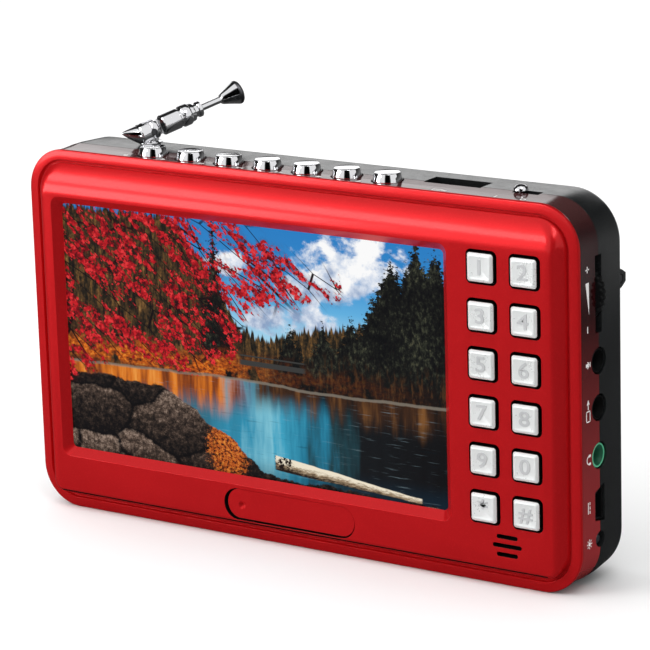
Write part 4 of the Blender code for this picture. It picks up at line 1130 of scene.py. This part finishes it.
def antenna():
    """Turret, tube, inner section and flared rod, turned about the antenna's axis."""
    at = antenna_frame()
    head = [(0, 2.5), (0.5, 2.45), (0.96, 2.31), (1.4, 2.07), (1.77, 1.77), (2.05, 1.5), (2.2, 1.18),
            (2.25, 0.8), (2.25, 0.14), (2.05, -0.02), (2.05, -0.18), (2.25, -0.34), (2.25, -2.45),
            (2.12, -2.6), (2.0, -2.7), (0, -2.7)]
    foot = [(0, -1.0), (1.8, -1.0), (1.8, -2.1), (2.6, -2.2), (2.7, -2.3), (2.7, -2.45), (1.9, -2.6),
            (1.9, -5.8), (2.45, -5.8), (2.45, -6.8), (0, -6.8)]
    bm = join(lathe(head, 48, matrix=at), lathe(foot, 48, matrix=Matrix.Translation(HINGE)))
    nose = [(0.0, 1.9, -2.0), (0.05, 2.1, -2.85), (0.45, 1.7, -3.7), (0.85, 1.3, -4.5),
            (1.25, 0.9, -5.25), (1.6, 0.5, -5.9), (1.75, 0.25, -6.2), (1.8, 0.1, -6.3)]
    sections = [[at @ Vector((x - shift, y, height)) for x, y in circle(radius, 48)]
                for shift, radius, height in nose]
    bm = join(bm, skin(sections))
    bm = cut(bm, moved(block((-4.0, -1.05, -1.95), (1.95, 1.05, 4.0)), at))
    bore = moved(rod("Y", (0, -4.0, 0), 8.0, 0.75), at)
    piece("turret", cut(bm, bore), "antenna_base", M["chrome"], "chrome", ("antenna_turret",),
          smooth=28.0, bevel=0.05)

    tube = [(0, 4.1), (1.7, 4.1), (1.7, 10.52), (1.78, 10.6), (1.9, 10.6), (1.96, 10.5), (2.05, 9.72),
            (2.12, 9.65), (2.3, 9.45), (2.35, 9.3), (2.35, 7.9), (2.28, 7.75), (1.95, 7.5), (1.95, 7.12),
            (2.12, 6.98), (2.2, 6.85), (2.2, 3.05), (2.05, 2.9), (0, 2.9)]
    bm = lathe(tube, 56, matrix=at)
    for part in (rod("Y", (0, -0.75, 0), 1.5, 1.6), block((-1.5, -0.75, 0.0), (1.5, 0.75, 3.4))):
        bm = join(bm, moved(part, at))
    hole = moved(rod("Y", (0, -3.0, 0), 6.0, 0.75), at)
    piece("tube", cut(bm, hole), "antenna_mast", M["chrome"], "chrome", ("antenna_tube",), smooth=28.0)

    section = [(1.0, 6.6), (1.0, 12.42), (1.08, 12.5), (1.62, 12.5), (1.7, 12.42), (1.7, 11.78),
               (1.62, 11.68), (1.4, 11.55), (1.4, 6.6)]
    piece("section", lathe(section, 48, matrix=at), "antenna_section", M["chrome"], "chrome",
          ("antenna_section",), smooth=28.0)
    rod_profile = [(0, 22.7), (0.9, 22.68), (1.5, 22.6), (2.0, 22.45), (2.3, 22.3), (2.5, 22.1),
                   (2.6, 21.85), (2.58, 21.6), (2.5, 21.35), (2.15, 20.5), (1.8, 19.6), (1.45, 18.65),
                   (1.15, 17.85), (1.05, 17.7), (0.7, 17.6), (0.7, 10.8), (0, 10.8)]

    # The band round the knob's widest part, 21.45 to 22.35 along the axis, is drawn in the darker screw steel
    # finish: a dark ring round the knob.
    def chooser(centre, normal):
        height = (at.inverted() @ centre).z
        return int(21.45 < height < 22.35)
    piece("rod", lathe(rod_profile, 48, matrix=at), "antenna_rod", [M["chrome"], M["steel"]], "chrome",
          ("antenna_rod",), smooth=28.0, chooser=chooser)


# ---------------------------------------------------------------- printed signs

def bar(bm, x, y, width, height, turn=0.0):
    """A flat printed bar about (x, y)."""
    corners = [(-width / 2, -height / 2), (width / 2, -height / 2), (width / 2, height / 2),
               (-width / 2, height / 2)]
    shape(bm, [(x + a * math.cos(turn) - b * math.sin(turn), y + a * math.sin(turn) + b * math.cos(turn))
               for a, b in corners])


def shape(bm, outline):
    """A printed convex shape, PRINT thick."""
    along_z(outline, 0.0, PRINT, bm)


def arc(bm, x, y, radius, start, end, width=0.24, steps=12):
    """A printed stroke along part of a circle, in degrees."""
    for step in range(steps):
        near, far = (math.radians(start + (end - start) * (step + more) / steps) for more in (0, 1))
        ring = [(x + r * math.cos(t), y + r * math.sin(t)) for r, t in
                ((radius, near), (radius + width, near), (radius + width, far), (radius, far))]
        shape(bm, ring)


def frame_sign(bm, x, y, width, height, stroke=0.22):
    for side in (-1, 1):
        bar(bm, x + side * width / 2, y, stroke, height + stroke)
        bar(bm, x, y + side * height / 2, width + stroke, stroke)


def arrow(bm, x, y, size, turn=0):
    """A printed triangle pointing along turn degrees."""
    t = math.radians(turn)
    points = [(size, 0.0), (-size * 0.7, size * 0.9), (-size * 0.7, -size * 0.9)]
    shape(bm, [(x + a * math.cos(t) - b * math.sin(t), y + a * math.sin(t) + b * math.cos(t))
               for a, b in points])


def side_signs():
    """Plain signs beside the wheel and the sockets, reading upwards."""
    bm = bmesh.new()
    wheel = middle("volume_wheel").z
    bar(bm, wheel + 5.6, 0, 1.3, 0.26)
    bar(bm, wheel + 5.6, 0, 0.26, 1.3)
    bar(bm, wheel - 6.4, 0, 1.3, 0.26)
    shape(bm, [(wheel - 3.4, -0.6), (wheel + 3.0, -0.6), (wheel + 3.0, 0.7)])
    place = middle("mic_jack").z
    bar(bm, place, 0.35, 0.66, 0.9)
    arc(bm, place, 0.25, 0.5, 180, 360, 0.2)
    bar(bm, place, -0.6, 0.2, 0.45)
    bar(bm, place, -0.85, 1.0, 0.2)
    place = middle("av_out_jack").z
    frame_sign(bm, place - 0.9, 0.05, 2.1, 1.4)
    bar(bm, place + 1.1, 0.05, 1.2, 0.24)
    arrow(bm, place + 1.9, 0.05, 0.6)
    place = middle("line_jack").z
    arc(bm, place, -0.1, 0.7, 0, 180, 0.22)
    for side in (-1, 1):
        bar(bm, place + side * 0.82, -0.4, 0.5, 0.8)
    place = middle("dc_port").z
    bar(bm, place, 0.35, 2.4, 0.24)
    for step in (-1, 0, 1):
        bar(bm, place + step * 0.9, -0.3, 0.6, 0.24)
    place = middle("led_lamp").z
    arc(bm, place, 0, 0.0, 0, 360, 0.42)
    for step in range(8):
        turn = math.radians(45 * step)
        bar(bm, place + 0.8 * math.cos(turn), 0.8 * math.sin(turn), 0.42, 0.18, turn)
    upright = Matrix(((0, 0, 1, RIGHT - 0.2), (0, -1, 0, SIGN_Y), (1, 0, 0, 0), (0, 0, 0, 1)))
    piece("side_signs", moved(bm, upright), "case", M["white"], "maroon_band", smooth=40.0)


def top_signs():
    """Small signs in front of the top buttons, the memory-stick slot and the switch."""
    bm = bmesh.new()
    places = [middle(node).x - 4.9 for node in TOP_BUTTONS]
    arc(bm, places[0], 0, 0.0, 0, 360, 0.5)
    arrow(bm, places[1], 0, 0.6)
    for side in (-1, 1):
        bar(bm, places[2] + side * 0.32, 0, 0.3, 1.0)
        arrow(bm, places[3] + side * 0.5, 0, 0.5, 180)
        arrow(bm, places[4] + side * 0.5, 0, 0.5)
    bar(bm, places[5], 0, 0.95, 0.95)
    arrow(bm, places[6], 0.2, 0.6, 90)
    bar(bm, places[6], -0.5, 1.1, 0.2)
    x = middle("usb_port").x
    frame_sign(bm, x - 0.5, 0, 2.2, 0.8, 0.2)
    bar(bm, x + 1.1, 0, 0.9, 0.55)
    x = middle("power_switch_knob").x
    bar(bm, x - 2.6, 0, 0.26, 1.1)
    arc(bm, x + 3.6, 0, 0.4, 0, 360, 0.22, 24)
    moved(bm, Matrix.Translation((0, TOP_SIGN_Y, TOP - 0.2)))
    piece("top_signs", bm, "case", M["white"], "maroon_band", smooth=40.0)


# ---------------------------------------------------------------- rear

def soften(node, width=0.12):
    """Clean up a CAD node's triangles and round its edges a little; its own mesh isn't changed."""
    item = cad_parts[node]
    item.modifiers.new("weld", "WELD").merge_threshold = 0.002 * MM
    flat = item.modifiers.new("flat", "DECIMATE")
    flat.decimate_type = "DISSOLVE"
    flat.angle_limit = math.radians(1.0)
    round_edges(item, width, 32.0)


def rear():
    for node in ("stand", "battery_door", "dc_port", "usb_port", "volume_pot", "power_switch_body",
                 "main_board", "lcd_panel", "speaker", "battery", "key_mat", "key_board", "top_board"):
        soften(node, 0.12 if node in ("stand", "battery_door") else 0.08)
    for screw in SCREWS:
        soften(screw, 0.05)


# ---------------------------------------------------------------- stage, light and camera

def stage():
    """A wide pale floor, which glossy rays see nearly black: a painted dark reflection."""
    g = Graph("pale_floor")
    mm = g.millimetres()
    pale = g.mix(g.noise(mm, 0.01, 3.0), (0.90, 0.90, 0.90), (0.93, 0.93, 0.93))
    # Painted reflection: glossy rays get a near-black floor colour instead of the pale one.
    mirrored = g.node("ShaderNodeLightPath", output="Is Glossy Ray")
    g.shade({"Base Color": g.mix(mirrored, pale, (0.05, 0.05, 0.05)), "Roughness": 0.9,
             "Specular IOR Level": 0.1})
    bm = bmesh.new()
    bmesh.ops.create_circle(bm, cap_ends=True, segments=96, radius=6.0)
    floor = placed("floor", bm)
    floor.data.materials.append(g.material)
    floor.location.z = CAD_BOX[0].z - 0.00005


def area_light(name, place, target, size, power, mirrored=True):
    """A soft rectangular light, in metres and watts. Glossy surfaces show it only if mirrored."""
    data = bpy.data.lights.new(name, "AREA")
    data.shape = "RECTANGLE"
    data.size, data.size_y = size
    data.energy = power
    made = placed(name, data)
    made.visible_glossy = mirrored
    made.location = place
    direction = Vector(target) - Vector(place)
    made.rotation_euler = direction.to_track_quat("-Z", "Y").to_euler()


CARD_LIFT = 0.001                  # the cards stand this far above the floor


def card(name, width, height, place, facing, glow):
    """An upright reflector or flag that only shows in glossy surfaces. glow is its radiance."""
    g = Graph(name)
    g.tree.nodes.remove(g.shader)
    fade = g.step(g.split(g.node("ShaderNodeTexCoord", output="UV"))[1], 0.0, 1.0, glow[0], glow[1])
    g.feed(g.output.inputs["Surface"], g.node("ShaderNodeEmission", {"Strength": fade}))
    corners = [(-width / 2, 0), (width / 2, 0), (width / 2, height), (-width / 2, height)]
    turn = math.atan2(facing[0], -facing[1])
    bm = bmesh.new()
    uv = bm.loops.layers.uv.new("card")
    verts = [bm.verts.new((place[0] + x * math.cos(turn), place[1] + x * math.sin(turn), place[2] + z))
             for x, z in corners]
    face = bm.faces.new(verts)
    for loop, (x, z) in zip(face.loops, corners):
        loop[uv].uv = (x / width + 0.5, z / height)
    made = placed(name, bm)
    made.data.materials.append(g.material)
    for sight in ("visible_camera", "visible_diffuse", "visible_shadow", "visible_transmission"):
        setattr(made, sight, False)


def lights():
    centre = (0.0, 0.0, 0.04)
    area_light("crown_softbox", (-0.60, -0.79, 0.50), centre, (0.6, 0.14), 1.95)
    area_light("corner_softbox", (0.45, -0.35, 0.8), (0.06, 0.0, 0.06), (0.3, 0.3), 1.5)
    area_light("top_softbox", (-0.4, -0.2, 1.2), centre, (1.8, 1.8), 14.0, mirrored=False)
    area_light("left_fill", (-1.0, -1.0, 0.15), (-0.05, 0.0, 0.03), (0.6, 0.6), 8.5)
    area_light("rear_softbox", (-0.75, 1.25, 0.38), (-0.2, 0.3, 0.08), (2.2, 0.6), 5.0, mirrored=False)
    turn = math.radians(CAMERA_AZIMUTH)
    x, y = math.sin(turn), -math.cos(turn)
    card("lens_flag", 0.16, 0.30, (0.26 * x, 0.26 * y, CARD_LIFT), (-x, -y), (0.0, 0.0))
    card("right_flag", 0.5, 0.16, (0.22, 0.20, CARD_LIFT), (-0.56, -0.83), (0.28, 0.05))
    card("left_flag", 0.4, 0.07, (-0.26, 0.16, CARD_LIFT), (0.6, -0.8), (0.2, 0.2))
    studio_world()


def studio_world():
    """Plain white studio for diffuse light; glossy surfaces see white boxes with dark gaps."""
    world = bpy.data.worlds.new("studio")
    bpy.context.scene.world = world
    world.use_nodes = True
    g = Graph.of_tree(world.node_tree)
    x, y, z = g.split(g.node("ShaderNodeTexCoord", output="Generated"))
    level = g.math("SQRT", g.add(g.times(x, x), g.times(y, y)))
    turn = math.radians(CAMERA_AZIMUTH)
    ahead = g.math("DIVIDE", g.add(g.times(x, math.sin(turn)), g.times(y, -math.cos(turn))), level)
    boxes = g.times(g.step(ahead, 0.94, 0.90), g.step(ahead, 0.08, 0.14))
    rear = g.times(g.step(ahead, -0.80, -0.88), g.times(g.step(z, 0.36, 0.32), g.step(z, 0.10, 0.15)))
    overhead = g.times(g.step(z, 0.66, 0.76), g.most(g.step(ahead, -0.35, -0.25), g.step(z, 0.965, 0.985)))
    glow = g.most(g.most(boxes, rear), overhead)
    mirrored = g.add(g.add(0.02, g.times(glow, 0.85)), g.times(rear, 0.5))
    glossy = g.node("ShaderNodeLightPath", output="Is Glossy Ray")
    sight = g.node("ShaderNodeLightPath", output="Is Camera Ray")
    plain = g.add(0.55, g.times(sight, 0.39))
    strength = g.add(g.times(glossy, mirrored), g.times(g.sub(1.0, glossy), plain))
    background = world.node_tree.nodes["Background"]
    background.inputs["Color"].default_value = (1.0, 1.0, 1.0, 1.0)
    g.feed(background.inputs["Strength"], strength)


CAMERA_PLACE = (0.37218724, -0.54822350, 0.21866403)
CAMERA_AZIMUTH = 34.0787
CAMERA_ELEVATION = 14.6459
CAMERA_ROLL = -1.7029
CAMERA_LENS = 183.2617


def camera():
    data = bpy.data.cameras.new("camera")
    data.sensor_width = 36.0
    data.lens = CAMERA_LENS
    data.clip_start, data.clip_end = 0.01, 50.0
    made = placed("camera", data)
    a, b, c = (math.radians(x) for x in (CAMERA_ELEVATION, CAMERA_ROLL, CAMERA_AZIMUTH))
    back = Vector((math.sin(c) * math.cos(a), -math.cos(c) * math.cos(a), math.sin(a)))
    right = Vector((math.cos(c), math.sin(c), 0.0))
    up = back.cross(right)
    rolled_right = math.cos(b) * right + math.sin(b) * up
    rolled_up = -math.sin(b) * right + math.cos(b) * up
    matrix = Matrix((rolled_right, rolled_up, back)).transposed().to_4x4()
    matrix.translation = Vector(CAMERA_PLACE)
    made.matrix_world = matrix
    bpy.context.scene.camera = made


def build():
    paint_frame()
    red_front()
    badge()
    red_band()
    rear_shell()
    screen()
    keypad()
    for node in TOP_BUTTONS:
        top_button(node)
    switch_knob()
    wheel()
    for node in JACKS[:2]:
        socket(node, "plastic", "black_plastic", "rubber")
    socket(JACKS[2], "green", "green_plastic", "green_painted_shade")
    antenna()
    side_signs()
    top_signs()
    rear()
    stage()
    lights()
    camera()
    bpy.context.scene.view_settings.view_transform = "Standard"


build()
